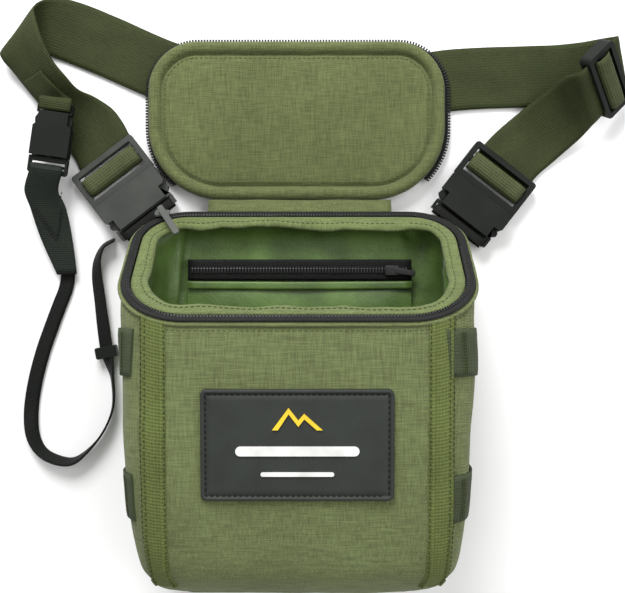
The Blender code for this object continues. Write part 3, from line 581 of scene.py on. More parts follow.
def front_point(s, x):
    """The front panel's surface at a place down the bag and an x."""
    back_y, back_z, front_y, front_z, half, _, radius = station(s)
    back = Vector((0, back_y, back_z))
    across = (Vector((0, front_y, front_z)) - back).normalized()
    over = min(max(0.0, abs(x) - (half - radius)), radius * 0.98)
    drop = radius - math.sqrt(radius ** 2 - over ** 2)
    return Vector((x, front_y, front_z)) - across * drop


def relief(point, normal, s):
    """The height of the cloth over the plain shape: soft wrinkles, padding, and sewn lines pulled in."""
    fade = clamp((s - 0.10) / 0.8)
    slanted = Vector((point.x + 0.35 * point.y, point.y * 0.55, point.z))
    height = 0.0011 * noise.noise(slanted * 24 + Vector((3.1, 0.2, 5.0))) + 0.00045 * noise.noise(slanted * 70)
    front = max(0.0, normal.z)
    if front > 0.2:
        inside = max(0.0, 1 - (point.x / (TAPE_X - 0.004)) ** 2)
        height += 0.0011 * front * math.sqrt(inside)
        for line in (TAPE_X - 0.0072, TAPE_X + 0.0072):
            height -= 0.0010 * front * math.exp(-((abs(point.x) - line) / 0.0022) ** 2)
    if abs(normal.x) > 0.5:
        height += 0.0016 * noise.noise(Vector((point.x, point.y * 0.6, point.z * 1.6)) * 30) - 0.0006
    return height * fade


def ring_normal(ring, above, below, index):
    """The outward normal at a point of a ring, from its neighbours and the rings above and below."""
    return (ring[(index + 1) % len(ring)] - ring[index - 1]).cross(below[index] - above[index]).normalized()


def with_relief(rings):
    """Body rings [(s, points)] moved out by the relief along their own normals."""
    made = []
    for level, (s, ring) in enumerate(rings):
        above, below = rings[max(level - 1, 0)][1], rings[min(level + 1, len(rings) - 1)][1]
        row = []
        for index, point in enumerate(ring):
            normal = ring_normal(ring, above, below, index)
            row.append(point + normal * relief(point, normal, s))
        made.append(row)
    return made


def front_on_cloth(s, x, lift):
    """A point that lies on the padded front, with its normal."""
    point = front_point(s, x)
    step_x = front_point(s, x + 0.0006) - front_point(s, x - 0.0006)
    step_s = front_point(s + 0.02, x) - front_point(s - 0.02, x)
    normal = step_s.cross(step_x).normalized()
    if normal.z < 0:
        normal.negate()
    return point + normal * (relief(point, normal, s) + lift), normal


def down_the_bag(count):
    return [LAST * (step / (count - 1)) for step in range(count)]


def make_body():
    """The outer cloth, from the mouth down to the rounded bottom."""
    rings = [(s, outline(s)) for s in down_the_bag(75)]
    rows = [outline(0, 0.0030)] + with_relief(rings)
    last = rows[-1]
    centre = sum(last, Vector()) / len(last)
    for share, bulge in ((0.94, 0.0012), (0.8, 0.0018), (0.5, 0.0016), (0.2, 0.0014), (0.02, 0.0014)):
        rows.append([centre + (p - centre) * share + Vector((0, -bulge, 0)) for p in last])
    body = grid("body_cloth", rows, CLOTH, "bag", "shell_fabric", wrap_columns=True)
    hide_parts("outer_shell", "foam_left", "foam_right", "foam_back", "foam_front")


def make_lining():
    """The satin inside, hanging in folds from the mouth."""
    rows = []
    for s in down_the_bag(45):
        back_y, back_z, front_y, front_z = station(s)[:4]
        centre = Vector((0, (back_y + front_y) / 2, (back_z + front_z) / 2))
        fade = min(1.0, s / 0.5) * min(1.0, LAST - s)
        row = []
        for point, region in section(s, INSET_TO_LINING):
            inward = centre - point
            inward.x *= 0.4
            inward.normalize()
            around = Vector((point.x * 34, point.z * 34, s * 0.55))
            fold = abs(noise.noise(around)) * 2.0 + 0.5 * abs(noise.noise(around * 2.3))
            size = 0.0012 if region == "back" else 0.0066
            row.append(point + inward * (size * fold * fade))
        rows.append(row)
    last = rows[-1]
    centre = sum(last, Vector()) / len(last)
    for share in (0.8, 0.5, 0.15):
        rows.append([centre + (p - centre) * share for p in last])
    lining = grid("lining_satin", rows, SATIN, "bag", "lining_satin", wrap_columns=True)
    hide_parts("lining")


# ---------------------------------------------------------------- the mouth


def mouth_point(x, t, height):
    return MOUTH_BACK + Vector((x, 0, 0)) + MOUTH_ACROSS * t + MOUTH_UP * height


def round_rectangle(x_low, x_high, y_low, y_high, low_radius, high_radius, corner=14, side=20):
    """(x, y) round a rectangle with round corners, counter-clockwise from its low right corner's start."""
    centres = (
        (x_high - low_radius, y_low + low_radius, 270, low_radius),
        (x_high - high_radius, y_high - high_radius, 0, high_radius),
        (x_low + high_radius, y_high - high_radius, 90, high_radius),
        (x_low + low_radius, y_low + low_radius, 180, low_radius),
    )
    found = []
    for number, (x, y, start, radius) in enumerate(centres):
        found += arc(x, y, radius, start, corner, 1)
        nx, ny, next_start, next_radius = centres[(number + 1) % 4]
        start_x, start_y = found[-1]
        end_x, end_y = arc(nx, ny, next_radius, next_start, 1)[0]
        for step in range(1, side):
            found.append((start_x + (end_x - start_x) * step / side, start_y + (end_y - start_y) * step / side))
    return found


def mouth_outline(inset):
    return round_rectangle(-0.0965 + inset, 0.0965 - inset, inset, MOUTH_DEPTH - inset, 0.031 - inset, 0.038 - inset)


def mouth_path(inset, height):
    return [mouth_point(x, t, height) for x, t in mouth_outline(inset)]


def swept(name, profile, place, look, body, slot, closed=True, **options):
    """A profile of (inset, height) pairs carried round an outline by place(inset, height) -> list of points."""
    columns = [place(inset, height) for inset, height in profile]
    rows = [[column[index] for column in columns] for index in range(len(columns[0]))]
    marks = lengths(columns[0])
    across = [0.0]
    for a, b in zip(profile, profile[1:]):
        across.append(across[-1] + math.hypot(b[0] - a[0], b[1] - a[1]))
    uvs = [[(mark, v) for v in across] for mark in marks]
    return grid(name, rows, look, body, slot, wrap_rows=closed, uvs=uvs, **options)


def teeth(name, path, up, look, body, slot, pitch=0.0017, width=0.0022, length=0.0011, height=0.0009):
    """A row of moulded zip teeth: small rounded blocks across the path."""
    points, faces = [], []
    for at, along, _ in walk(path, pitch):
        side = along.cross(up).normalized()
        start = len(points)
        for level, size in ((0.0, 1.0), (0.75, 1.0), (1.0, 0.62)):
            for u, v in ((-1, -1), (1, -1), (1, 1), (-1, 1)):
                points.append(at + along * (u * length / 2 * size) + side * (v * width / 2 * size)
                              + up * (level * height))
        tooth = grid_faces(3, 4, wrap_columns=True) + [(8, 9, 10, 11), (3, 2, 1, 0)]
        faces += [tuple(start + corner for corner in face) for face in tooth]
    return piece(name, points, faces, look, body, slot, smooth=False)


MOUTH_ZIP_START, MOUTH_ZIP_END = 18, 3  # points of the outline; between them, at the back, there are no teeth


def make_mouth():
    """The zipper round the mouth, the binding outside it, the soft hem inside it and their seams."""
    tape = swept("mouth_zip_tape", ((-0.0004, 0.0002), (-0.0006, 0.0010), (0.0002, 0.0014), (0.0014, 0.0015),
                                    (0.0026, 0.0012), (0.0042, 0.0007), (0.0042, 0.0002)),
                 mouth_path, ZIP_TAPE, "bag", "black_webbing")
    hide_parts("mouth_zipper_tape")
    track = mouth_path(0.0034, 0.0009)
    tooth_row = teeth("mouth_zip_teeth", track[MOUTH_ZIP_START:] + track[:MOUTH_ZIP_END], MOUTH_UP, TEETH, "bag",
                      "moulded_plastic")
    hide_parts("mouth_zipper_teeth")

    outer_edge = mouth_path(-0.0014, 0.0)
    binding_rows = []
    for index, point in enumerate(outer_edge):
        outward = (point - (MOUTH_BACK + MOUTH_ACROSS * (MOUTH_DEPTH / 2))).normalized()
        swell = 0.0011 * (1 + 0.25 * noise.noise(point * 90))
        binding_rows.append([point + outward * (swell * math.cos(a)) + MOUTH_UP * (swell * math.sin(a) - 0.0012)
                             for a in (math.radians(k * 45) for k in range(8))])
    grid("mouth_binding", binding_rows, CLOTH, "bag", "shell_fabric", wrap_rows=True, wrap_columns=True)

    def hem(inset, height):
        path = []
        for x, t in mouth_outline(min(inset, 0.0290)):
            at = Vector((x * 46, t * 46, 2.0))
            loose = max(0.0, inset - 0.0050) / 0.009
            sway = (noise.noise(at) * 0.0034 + noise.noise(at * 2.7) * 0.0012) * loose
            dip = (noise.noise(at + Vector((9, 4, 1))) * 0.0034 - 0.0008) * loose
            path.append(mouth_point(x, t, height + dip) + MOUTH_ACROSS * sway * (1 if t < MOUTH_DEPTH / 2 else -1))
        return path

    facing = swept("mouth_hem", ((0.0048, -0.0002), (0.0052, 0.0008), (0.0066, 0.0013), (0.0086, 0.0011),
                                 (0.0102, 0.0006), (0.0112, 0.0009), (0.0126, 0.0007), (0.0138, -0.0002),
                                 (0.0140, -0.0016), (0.0126, -0.0024), (0.0090, -0.0030)),
                   hem, HEM_CLOTH, "bag", "lid_fabric")
    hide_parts("mouth_facing")
    line = hem(0.0104, 0.0009)
    stitches("mouth_hem_stitches", [(line, [MOUTH_UP] * len(line))], THREAD_GREEN, "bag", "lid_fabric",
             0.0030, 0.0020, 0.00026)

    seam = 0.22
    ring, above, below = (outline(s) for s in (seam, seam - 0.1, seam + 0.1))
    normals = [ring_normal(ring, above, below, index) for index in range(len(ring))]
    path = [point + normal * relief(point, normal, seam) for point, normal in zip(ring, normals)]
    stitches("mouth_edge_stitches", [(path, normals)], THREAD_GREEN, "bag", "shell_fabric", 0.0030, 0.0020, 0.00026)


# ---------------------------------------------------------------- inside pocket


def make_pocket():
    """The satin pocket on the back wall inside, with its zipper, slider and pull."""
    low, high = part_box("inner_pocket")
    rows = []
    across, up = 28, 18
    for j in range(up + 1):
        v = j / up
        row = []
        for i in range(across + 1):
            u = i / across
            x = low[0] + (high[0] - low[0]) * u
            y = low[1] + (high[1] - low[1]) * v
            edge = min(1.0, 8 * min(u, 1 - u)) * min(1.0, 8 * min(v, 1 - v) + 0.15)
            crease = 0.0012 * noise.noise(Vector((x * 40, y * 26, 1)))
            row.append(Vector((x, y, low[2] + 0.0012 + edge * (0.0022 + crease))))
        rows.append(row)
    pocket = grid("pocket_panel", rows, SATIN, "bag", "lining_satin")
    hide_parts("inner_pocket")
    hem_edges = [((low[0], high[1] - 0.0040, low[2] + 0.0030), (low[0], high[1] + 0.0008, low[2] + 0.0030)),
                 ((0, high[1] - 0.0044, low[2] + 0.0042), (0, high[1] + 0.0004, low[2] + 0.0042)),
                 ((high[0], high[1] - 0.0040, low[2] + 0.0030), (high[0], high[1] + 0.0008, low[2] + 0.0030))]
    ribbon("pocket_hem", hem_edges, SATIN, "bag", "lining_satin", 0.0012, 14, 4)

    low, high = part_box("inner_pocket_zipper")
    middle = (low[1] + high[1]) / 2
    z = high[2]
    tape_edges = [((x, low[1] + 0.0008, z), (x, high[1], z + 0.0006)) for x in np.linspace(low[0], high[0], 7)]
    ribbon("pocket_zip_tape", tape_edges, BLACK, "bag", "black_webbing", 0.0010, 4, 6, 0.0004,
           ("inner_pocket_zipper",))
    path = [Vector((x, middle, z + 0.0008)) for x in np.linspace(low[0] + 0.002, high[0] - 0.002, 60)]
    teeth("pocket_zip_teeth", path, UP, TEETH, "bag", "moulded_plastic", 0.0018, 0.0034)
    rounded_block("pocket_zip_slider", Vector((0.0560, middle, z + 0.0020)), (0.0085, 0.0062, 0.0022),
                  Matrix.Identity(3), TEETH, "bag", "moulded_plastic")
    rounded_block("pocket_zip_pull", Vector((0.0640, middle - 0.0010, z + 0.0030)), (0.0120, 0.0034, 0.0012),
                  Matrix.Rotation(math.radians(-8), 3, "Z"), TEETH, "bag", "moulded_plastic")


def rounded_block(name, at, size, turn, look, body, slot):
    """A small moulded block with rounded edges."""
    work = bmesh.new()
    bmesh.ops.create_cube(work, size=1.0)
    for vert in work.verts:
        vert.co = Vector((vert.co.x * size[0], vert.co.y * size[1], vert.co.z * size[2]))
    bmesh.ops.bevel(work, geom=work.edges[:], offset=min(size) * 0.32, segments=3, affect="EDGES", profile=0.6)
    for vert in work.verts:
        vert.co = turn @ vert.co + at
    mesh = bpy.data.meshes.new(name)
    work.to_mesh(mesh)
    work.free()
    return finish_piece(name, mesh, look, body, slot)


# ---------------------------------------------------------------- front panel: tapes and patch


def tape_centre(s):
    return min(TAPE_X, station(s)[4] - TAPE_FROM_SIDE)


TAPE_HALF_PROFILE = ((0.36, 0.0011), (0.41, 0.0019), (0.48, 0.0019), (0.53, 0.0011), (0.61, 0.0010), (0.62, -0.0003))
TAPE_PROFILE = (tuple((-share, lift) for share, lift in reversed(TAPE_HALF_PROFILE))
                + ((0, 0.0013),) + TAPE_HALF_PROFILE)  # (share of the width, lift over the cloth)
TAPE_MIDDLE = len(TAPE_HALF_PROFILE)
TAPE_STITCH_LINES = (-0.565, 0.565, 0.33)


def make_front_tapes():
    """A ribbed tape down each side of the front, with a raised ridge along each edge and rows of stitches."""
    runs = []
    for side, sign in (("left", -1), ("right", 1)):
        rows, uvs = [], []
        distance, before = 0.0, None
        lines = {share: ([], []) for share in TAPE_STITCH_LINES}
        for step in range(61):
            s = 0.06 + 6.0 * step / 60
            centre = tape_centre(s)
            row = [front_on_cloth(s, sign * (centre + share * TAPE_WIDTH), lift)[0] for share, lift in TAPE_PROFILE]
            if before is not None:
                distance += (row[TAPE_MIDDLE] - before).length
            before = row[TAPE_MIDDLE]
            rows.append(row)
            uvs.append([(distance, share * TAPE_WIDTH) for share, _ in TAPE_PROFILE])
            for share, (path, normals) in lines.items():
                point, normal = front_on_cloth(s, sign * (centre + share * TAPE_WIDTH), 0.0013)
                path.append(point)
                normals.append(normal)
        tape = grid(f"{side}_front_tape_cloth", rows, TAPE, "bag", "green_webbing", uvs=uvs)
        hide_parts(f"{side}_front_tape")
        runs += list(lines.values())
    stitches("front_tape_stitches", runs, THREAD_DARK, "bag", "green_webbing", 0.0030, 0.0018, 0.0003)


def make_patch():
    """The moulded rubber patch: a raised rim, a groove, a stitched line and a plain emblem."""
    low, high = (Vector(corner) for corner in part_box("front_patch"))
    half_x, half_y = (high.x - low.x) / 2, (high.y - low.y) / 2
    centre_y = (low.y + high.y) / 2
    slope = (front_point(s_at(centre_y - 0.02), 0).z - front_point(s_at(centre_y + 0.02), 0).z) / 0.04
    base = front_point(s_at(centre_y), 0).z + 0.0012

    def at(x, y, height):
        return Vector((x, centre_y + y + height * slope, base - y * slope + height))

    up = Vector((0, slope, 1)).normalized()

    def rim(inset, height):
        radius = 0.0032 - min(inset, 0.0028) * 0.9
        return [at(x, y, height) for x, y in round_rectangle(-half_x + inset, half_x - inset, -half_y + inset,
                                                             half_y - inset, radius, radius, 5, 24)]

    profile = [(0.0, -0.0014), (0.0, 0.0014), (0.0004, 0.0020), (0.0010, 0.0022), (0.0017, 0.0021),
               (0.0021, 0.0016), (0.0024, 0.0012), (0.0030, 0.0012), (0.0034, 0.0015), (0.0060, 0.0016),
               (0.0150, 0.0016), (0.0280, 0.0016)]
    patch = swept("patch_rubber_face", profile, rim, RUBBER, "bag", "patch_rubber")
    close_loops(patch, len(profile), (len(profile) - 1,))
    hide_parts("front_patch")
    line = rim(0.0027, 0.0013)
    stitches("patch_stitches", [(line + line[:1], [up] * (len(line) + 1))], THREAD_BLACK, "bag", "patch_rubber",
             0.0030, 0.0020, 0.00032)

    top = 0.0018
    mountains = [(-0.0130, 0.0080), (-0.0045, 0.0195), (0.0005, 0.0130), (0.0035, 0.0165), (0.0130, 0.0080),
                 (0.0100, 0.0080), (0.0036, 0.0137), (0.0005, 0.0098), (-0.0045, 0.0163), (-0.0100, 0.0080)]
    extrude_shapes("patch_emblem", [mountains], at, top, 0.0007, EMBLEM)
    bars = [rounded_bar(0, -0.0030, 0.0640, 0.0050), rounded_bar(0, -0.0150, 0.0380, 0.0022)]
    extrude_shapes("patch_emblem_bars", bars, at, top, 0.0006, EMBLEM_WHITE)


def rounded_bar(x, y, width, height):
    radius = height / 2
    reach = width / 2 - radius
    return arc(x + reach, y, radius, -90, 8, 1, 180) + arc(x - reach, y, radius, 90, 8, 1, 180)


def extrude_shapes(name, shapes, at, bottom, height, look):
    points, faces = [], []
    for shape in shapes:
        start, count = len(points), len(shape)
        points += [at(x, y, bottom - 0.0006) for x, y in shape]
        points += [at(x, y, bottom + height) for x, y in shape]
        faces += [tuple(start + corner for corner in face) for face in grid_faces(2, count, wrap_columns=True)]
        faces.append(tuple(start + count + i for i in range(count)))
    return piece(name, points, faces, look, "bag", "patch_rubber", smooth=False)


def s_at(y):
    """The place down the bag where the front's centre line has this y."""
    return descend(lambda s: station(s)[2] > y)


# ---------------------------------------------------------------- side loops

LOOP_LIFT = 0.0008


def make_side_loops():
    """Webbing loops over the bag's sides, bar-tacked at both ends."""
    for side in ("left", "right"):
        sign = -1 if side == "left" else 1
        for level in ("upper", "lower"):
            name = f"{side}_loop_{level}"
            centre_y = 0.0280 if level == "upper" else -0.0490
            rows_y = [centre_y - 0.0125, centre_y + 0.0125]
            edges = []
            columns = loop_columns(sign)
            for index in columns:
                pair = []
                for y in rows_y:
                    point, normal = side_point(index, y)
                    pair.append(point + normal * LOOP_LIFT)
                edges.append(tuple(pair))
            ribbon(f"{name}_webbing", edges, LOOP, "bag", "green_webbing", 0.0015, 2, 8, 0.0005, (name,))
            runs = []
            for place in (1, len(edges) - 2):
                a, b = edges[place]
                _, normal = side_point(columns[place], centre_y)
                for shift in (-0.0012, 0.0, 0.0012):
                    along = (edges[min(place + 1, len(edges) - 1)][0] - a).normalized() * shift
                    path = [a.lerp(b, share) + along + normal * 0.0009 for share in (0.05, 0.35, 0.65, 0.95)]
                    runs.append((path, [normal] * 4))
            stitches(f"{name}_tacks", runs, THREAD_DARK, "bag", "green_webbing", 0.0016, 0.0014, 0.0003)


def loop_columns(sign):
    """The lines down the body that a loop crosses, from its side on to the front corner."""
    side = BACK_STEPS + CORNER_STEPS if sign > 0 else BACK_STEPS + 3 * CORNER_STEPS + SIDE_STEPS + FRONT_STEPS
    if sign > 0:
        return list(range(side + 3, side + SIDE_STEPS + 8, 2))
    return list(range(side - 5, side + 10, 2))


SECTION_CACHE = {}


def ring_points(s):
    key = round(s, 3)
    if key not in SECTION_CACHE:
        SECTION_CACHE[key] = outline(s)
    return SECTION_CACHE[key]


def side_point(index, y):
    """The cloth's surface on one of the lines that run down the body, at a y, with its normal."""
    s = round(descend(lambda s: ring_points(s)[index].y > y, 12), 3)
    ring = ring_points(s)
    normal = ring_normal(ring, ring_points(max(s - 0.05, 0)), ring_points(min(s + 0.05, LAST)), index)
    return ring[index] + normal * relief(ring[index], normal, s), normal


# ---------------------------------------------------------------- the lid

LID_CENTRE = Vector((-0.002, 0.1657, 0))


def lid_outline(inset):
    return round_rectangle(-0.09325 + inset, 0.08925 - inset, 0.117 + inset, 0.2144 - inset,
                           max(0.045 - inset, 0.003), max(0.030 - inset, 0.003), 16, 22)


def lid_path(inset, height):
    """The lid's outline at an inset. Far inside, the outlines shrink on to a line through its middle."""
    limit = 0.026
    path = []
    if inset <= limit:
        pairs = lid_outline(inset)
    else:
        share = (inset - limit) / (0.052 - limit)
        pairs = []
        for x, y in lid_outline(limit):
            spine = (min(max(x, -0.045), 0.039), LID_CENTRE.y)
            pairs.append((x + (spine[0] - x) * share, y + (spine[1] - y) * share))
    for x, y in pairs:
        wrinkle = 0.0
        if inset > 0.0095:
            at = Vector((x * 22 + 4.0, y * 30, 0.7))
            reach = min(1.0, (inset - 0.0095) / 0.006)
            corner = clamp((x + 0.01) / 0.07) * clamp((0.185 - y) / 0.05)
            reach *= clamp((0.0490 - inset) / 0.018)
            wrinkle = reach * (0.0009 * noise.noise(at) + 0.0016 * corner * noise.noise(at * 2.1 + Vector((0, 0, 3))))
        elif inset > 0.001:
            wrinkle = 0.0005 * noise.noise(Vector((x * 60, y * 60, 2.0)))
        path.append(Vector((x, y, height + wrinkle)))
    return path


LID_PROFILE = (  # (inset, height), from the middle of the outer face round the padded edge to the middle of the lining
    (0.0490, 0.0046), (0.0380, 0.0046), (0.0200, 0.0046), (0.0060, 0.0046), (0.0022, 0.0050), (0.0006, 0.0064),
    (0.0, 0.0084), (0.0005, 0.0104), (0.0017, 0.0119), (0.0036, 0.0126), (0.0056, 0.0123), (0.0070, 0.0112),
    (0.0078, 0.0098), (0.0082, 0.0090), (0.0086, 0.0091), (0.0094, 0.0101), (0.0110, 0.0108), (0.0140, 0.0112),
    (0.0190, 0.0116), (0.0260, 0.0119), (0.0300, 0.0120), (0.0340, 0.0121), (0.0390, 0.0122), (0.0440, 0.0122),
    (0.0490, 0.0122),
)
LID_TAPE_PROFILE = ((0.0080, 0.0040), (0.0034, 0.0044), (0.0004, 0.0042), (-0.0012, 0.0036), (0.0004, 0.0030),
                    (0.0060, 0.0028))
LID_TAPE_START, LID_TAPE_END = 8, 28  # how many points of the outline the tape leaves out at its two ends


def lid_tape_path(inset, height):
    """The lid's outline for its zipper, which stops at both ends of the hinge and stands out a little on the right."""
    points = [Vector((x + 0.0016 * clamp(x / 0.06), y, height)) for x, y in lid_outline(max(inset, -0.002))]
    return points[LID_TAPE_START:len(points) - LID_TAPE_END]


def make_lid():
    """The padded lid with its edge roll, zipper and seam, and the cloth that hinges it to the bag."""
    lid = swept("lid_padded_cloth", LID_PROFILE, lid_path, LID_CLOTH, "lid", "lid_fabric")
    close_loops(lid, len(LID_PROFILE), (0, len(LID_PROFILE) - 1))
    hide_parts("lid_outer", "lid_foam", "lid_lining", "lid_edge_roll")
    seam = lid_path(0.0106, 0.0107)
    stitches("lid_stitches", [(seam + seam[:1], [UP] * (len(seam) + 1))], THREAD_GREEN, "lid", "lid_fabric",
             0.0030, 0.0020, 0.00030)

    tape = swept("lid_zip_tape", LID_TAPE_PROFILE, lid_tape_path, ZIP_TAPE, "lid", "black_webbing", closed=False)
    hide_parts("lid_zipper_tape")
    row = teeth("lid_zip_teeth", lid_tape_path(-0.0012, 0.0034), UP, TEETH, "lid", "moulded_plastic",
                0.0018, 0.0026, 0.0011, 0.0012)
    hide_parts("lid_zipper_teeth")

    low, high = (Vector(corner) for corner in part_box("hinge_gusset"))
    edges = [((x, low.y - 0.0010, 0.0135), (x, high.y + 0.0046, 0.0098))
             for x in np.linspace(low.x - 0.006, high.x + 0.006, 9)]
    gusset = ribbon("hinge_cloth", edges, LID_CLOTH, None, "lid_fabric", 0.0016, 3, 6, 0.0006, ("hinge_gusset",))
    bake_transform(gusset)


# ---------------------------------------------------------------- harness webbing

STRAP_BACK = (
    ((0.1420, 0.1755, 0.0012), (0.1410, 0.2135, 0.0012)),
    ((0.0940, 0.1730, 0.0012), (0.0890, 0.2110, 0.0012)),
    ((0.0450, 0.1640, 0.0012), (0.0370, 0.2010, 0.0012)),
    ((0.0000, 0.1590, 0.0012), (0.0000, 0.1970, 0.0012)),
    ((-0.0450, 0.1650, 0.0012), (-0.0350, 0.2020, 0.0012)),
    ((-0.0930, 0.1815, 0.0012), (-0.0785, 0.2160, 0.0012)),
    ((-0.1250, 0.1953, 0.0012), (-0.1100, 0.2297, 0.0012)),
)
STRAP_LEFT = (
    ((-0.1458, 0.2039, 0.0013), (-0.1308, 0.2383, 0.0016)),
    ((-0.1620, 0.2095, 0.0018), (-0.1460, 0.2420, 0.0050)),
    ((-0.1760, 0.2120, 0.0035), (-0.1560, 0.2400, 0.0100)),
    ((-0.1840, 0.2085, 0.0070), (-0.1610, 0.2335, 0.0160)),
    ((-0.1825, 0.2030, 0.0085), (-0.1585, 0.2240, 0.0215)),
    ((-0.1770, 0.1965, 0.0065), (-0.1530, 0.2090, 0.0250)),
    ((-0.1720, 0.1900, 0.0045), (-0.1470, 0.1975, 0.0240)),
    ((-0.1670, 0.1835, 0.0033), (-0.1410, 0.1900, 0.0205)),
    ((-0.1600, 0.1745, 0.0024), (-0.1355, 0.1840, 0.0130)),
    ((-0.1520, 0.1615, 0.0019), (-0.1270, 0.1808, 0.0066)),
    ((-0.1450, 0.1500, 0.0014), (-0.1170, 0.1745, 0.0022)),
    ((-0.1400, 0.1425, 0.0012), (-0.1105, 0.1660, 0.0013)),
    ((-0.1372, 0.1365, 0.0012), (-0.1070, 0.1595, 0.0012)),
    ((-0.1340, 0.1323, 0.0012), (-0.1038, 0.1553, 0.0012)),
)
STRAP_RIGHT = (
    ((0.1600, 0.1760, 0.0012), (0.1585, 0.2140, 0.0020)),
    ((0.1760, 0.1770, 0.0012), (0.1720, 0.2145, 0.0055)),
    ((0.1900, 0.1790, 0.0013), (0.1820, 0.2145, 0.0130)),
    ((0.1985, 0.1820, 0.0018), (0.1880, 0.2135, 0.0215)),
    ((0.2015, 0.1855, 0.0058), (0.1880, 0.2110, 0.0310)),
    ((0.2008, 0.1845, 0.0094), (0.1830, 0.2073, 0.0340)),
    ((0.1924, 0.1761, 0.0112), (0.1746, 0.1989, 0.0357)),
    ((0.1819, 0.1656, 0.0133), (0.1641, 0.1884, 0.0378)),
    ((0.1778, 0.1606, 0.0095), (0.1583, 0.1878, 0.0290)),
    ((0.1723, 0.1545, 0.0050), (0.1510, 0.1830, 0.0170)),
    ((0.1569, 0.1406, 0.0016), (0.1337, 0.1697, 0.0024)),
    ((0.1484, 0.1333, 0.0012), (0.1211, 0.1587, 0.0013)),
    ((0.1420, 0.1258, 0.0012), (0.1121, 0.1489, 0.0012)),
    ((0.1385, 0.1210, 0.0012), (0.1085, 0.1443, 0.0012)),
)


TRI_GLIDE_AT = Vector((0.1835, 0.1875, 0.0234))
TRI_GLIDE_BAR = Vector((0.470, -0.600, -0.647))
TRI_GLIDE_CROSS = Vector((0.700, 0.700, -0.140))
TRI_GLIDE_THICKNESS = 0.008


def strap_pairs(*parts):
    return [tuple(Vector(edge) for edge in pair) for part in parts for pair in part]


def make_harness():
    """The left and right webbing, which meet behind the bag."""
    left = strap_pairs(STRAP_BACK[3:], STRAP_LEFT)
    left_strap = ribbon("harness_webbing_left", left, STRAP, None, "green_webbing", 0.0015, 8, 12, 0.0005)
    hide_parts("harness_strap_left")
    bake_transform(left_strap)
    right = strap_pairs(STRAP_BACK[3::-1], STRAP_RIGHT)
    right_strap = ribbon("harness_webbing_right", right, STRAP, None, "green_webbing", 0.0015, 8, 12, 0.0005)
    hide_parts("harness_strap_right", "harness_strap_back")
    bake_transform(right_strap)


# ---------------------------------------------------------------- buckles


BUCKLE_CLEARANCE = 0.0006  # from the table to a large buckle's underside


def flat_place(at, angle):
    """A large buckle's place on the table: its +Y along the given angle."""
    return (Matrix.Translation((at[0], at[1], BUCKLE_CLEARANCE))
            @ Matrix.Rotation(math.radians(angle - 90), 4, "Z"))


# Each buckle's lengths along it are its male's frame, the gap, the female's sleeve, the paddles and the tail.
LARGE = {"left": flat_place((-0.1232, 0.1442), 127.3), "right": flat_place((0.1282, 0.1401), 52.2)}
LARGE_END = -sum((0.0241, 0.0004, 0.0128, 0.0066, 0.0064))
LARGE_MIDDLE = 0.0055
SMALL_END = -sum((0.0105, 0.0004, 0.0190, 0.0070, 0.0062))
SMALL_MIDDLE = 0.0039
SLOT_FROM_END = 0.0035
WRAP = (  # (y, z) of the webbing over a large male's bar
    (-0.0064, 0.0022), (-0.0063, 0.0056), (-0.0068, 0.0076), (-0.0084, 0.0088), (-0.0115, 0.0091),
    (-0.0146, 0.0088), (-0.0162, 0.0076), (-0.0167, 0.0056), (-0.0166, 0.0022),
)


def profile_ribbon(name, place, width, path, look, body, slot, replaces):
    """Webbing of one width along a path of (y, z) points in a buckle's own frame."""
    edges = [(place @ Vector((-width / 2, y, z)), place @ Vector((width / 2, y, z))) for y, z in path]
    return ribbon(name, edges, look, body, slot, 0.0014, 4, 10, 0.0, replaces)


def make_large_buckles():
    """The two large buckles' plastic, the webbing over the male's bar and the anchor that holds the female."""
    for side, place in LARGE.items():
        look = PLASTIC_GREY if side == "left" else PLASTIC_DARK
        for node in ("buckle_female", "buckle_male", "release_arm_a", "release_arm_b"):
            paint(f"{side}_{node}", look)
        # The wrap over the bar wears the lighter copy of the strap webbing, which is painted light.
        profile_ribbon(f"{side}_strap_wrap_webbing", place, 0.038, WRAP, STRAP_PAINTED_LIT, f"{side}_strap",
                       "green_webbing", (f"{side}_strap_wrap",))
        end, middle, lift = LARGE_END, LARGE_MIDDLE, 0.0042
        slot = end + SLOT_FROM_END
        anchor = ((end - 0.0014, middle + lift), (end + 0.0008, middle + lift),
                  (slot - 0.0008, middle + lift - 0.0005), (slot, middle + 0.0020), (slot, middle - 0.0020),
                  (slot - 0.0008, middle - lift + 0.0005), (end + 0.0008, middle - lift),
                  (end - 0.0014, middle - lift))
        profile_ribbon(f"{side}_anchor_cloth", place, 0.037, anchor, BLACK, "bag", "black_webbing",
                       (f"{side}_anchor_webbing",))


def paint(node, look):
    """Gives a CAD node its detailed material."""
    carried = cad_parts[node]
    carried.data.materials.clear()
    carried.data.materials.append(look)


def make_glide_wrap():
    """The webbing that comes up through the tri-glide and over its middle bar."""
    bar = TRI_GLIDE_BAR.normalized()
    cross = (TRI_GLIDE_CROSS - bar * TRI_GLIDE_CROSS.dot(bar)).normalized()
    up = bar.cross(cross)
    top = TRI_GLIDE_THICKNESS / 2
    path = ((-0.0050, 0.0024), (-0.0048, top - 0.0006), (-0.0036, top + 0.0009), (0.0, top + 0.0013),
            (0.0036, top + 0.0009), (0.0048, top - 0.0006), (0.0050, 0.0024))
    edges = [tuple(TRI_GLIDE_AT + bar * (side * 0.0183) + cross * y + up * z for side in (-1, 1)) for y, z in path]
    # The wrap wears the lighter copy of the strap webbing, which is painted light.
    ribbon("tri_glide_wrap", edges, STRAP_PAINTED_LIT, "tri_glide", "green_webbing", 0.0012, 4, 10)


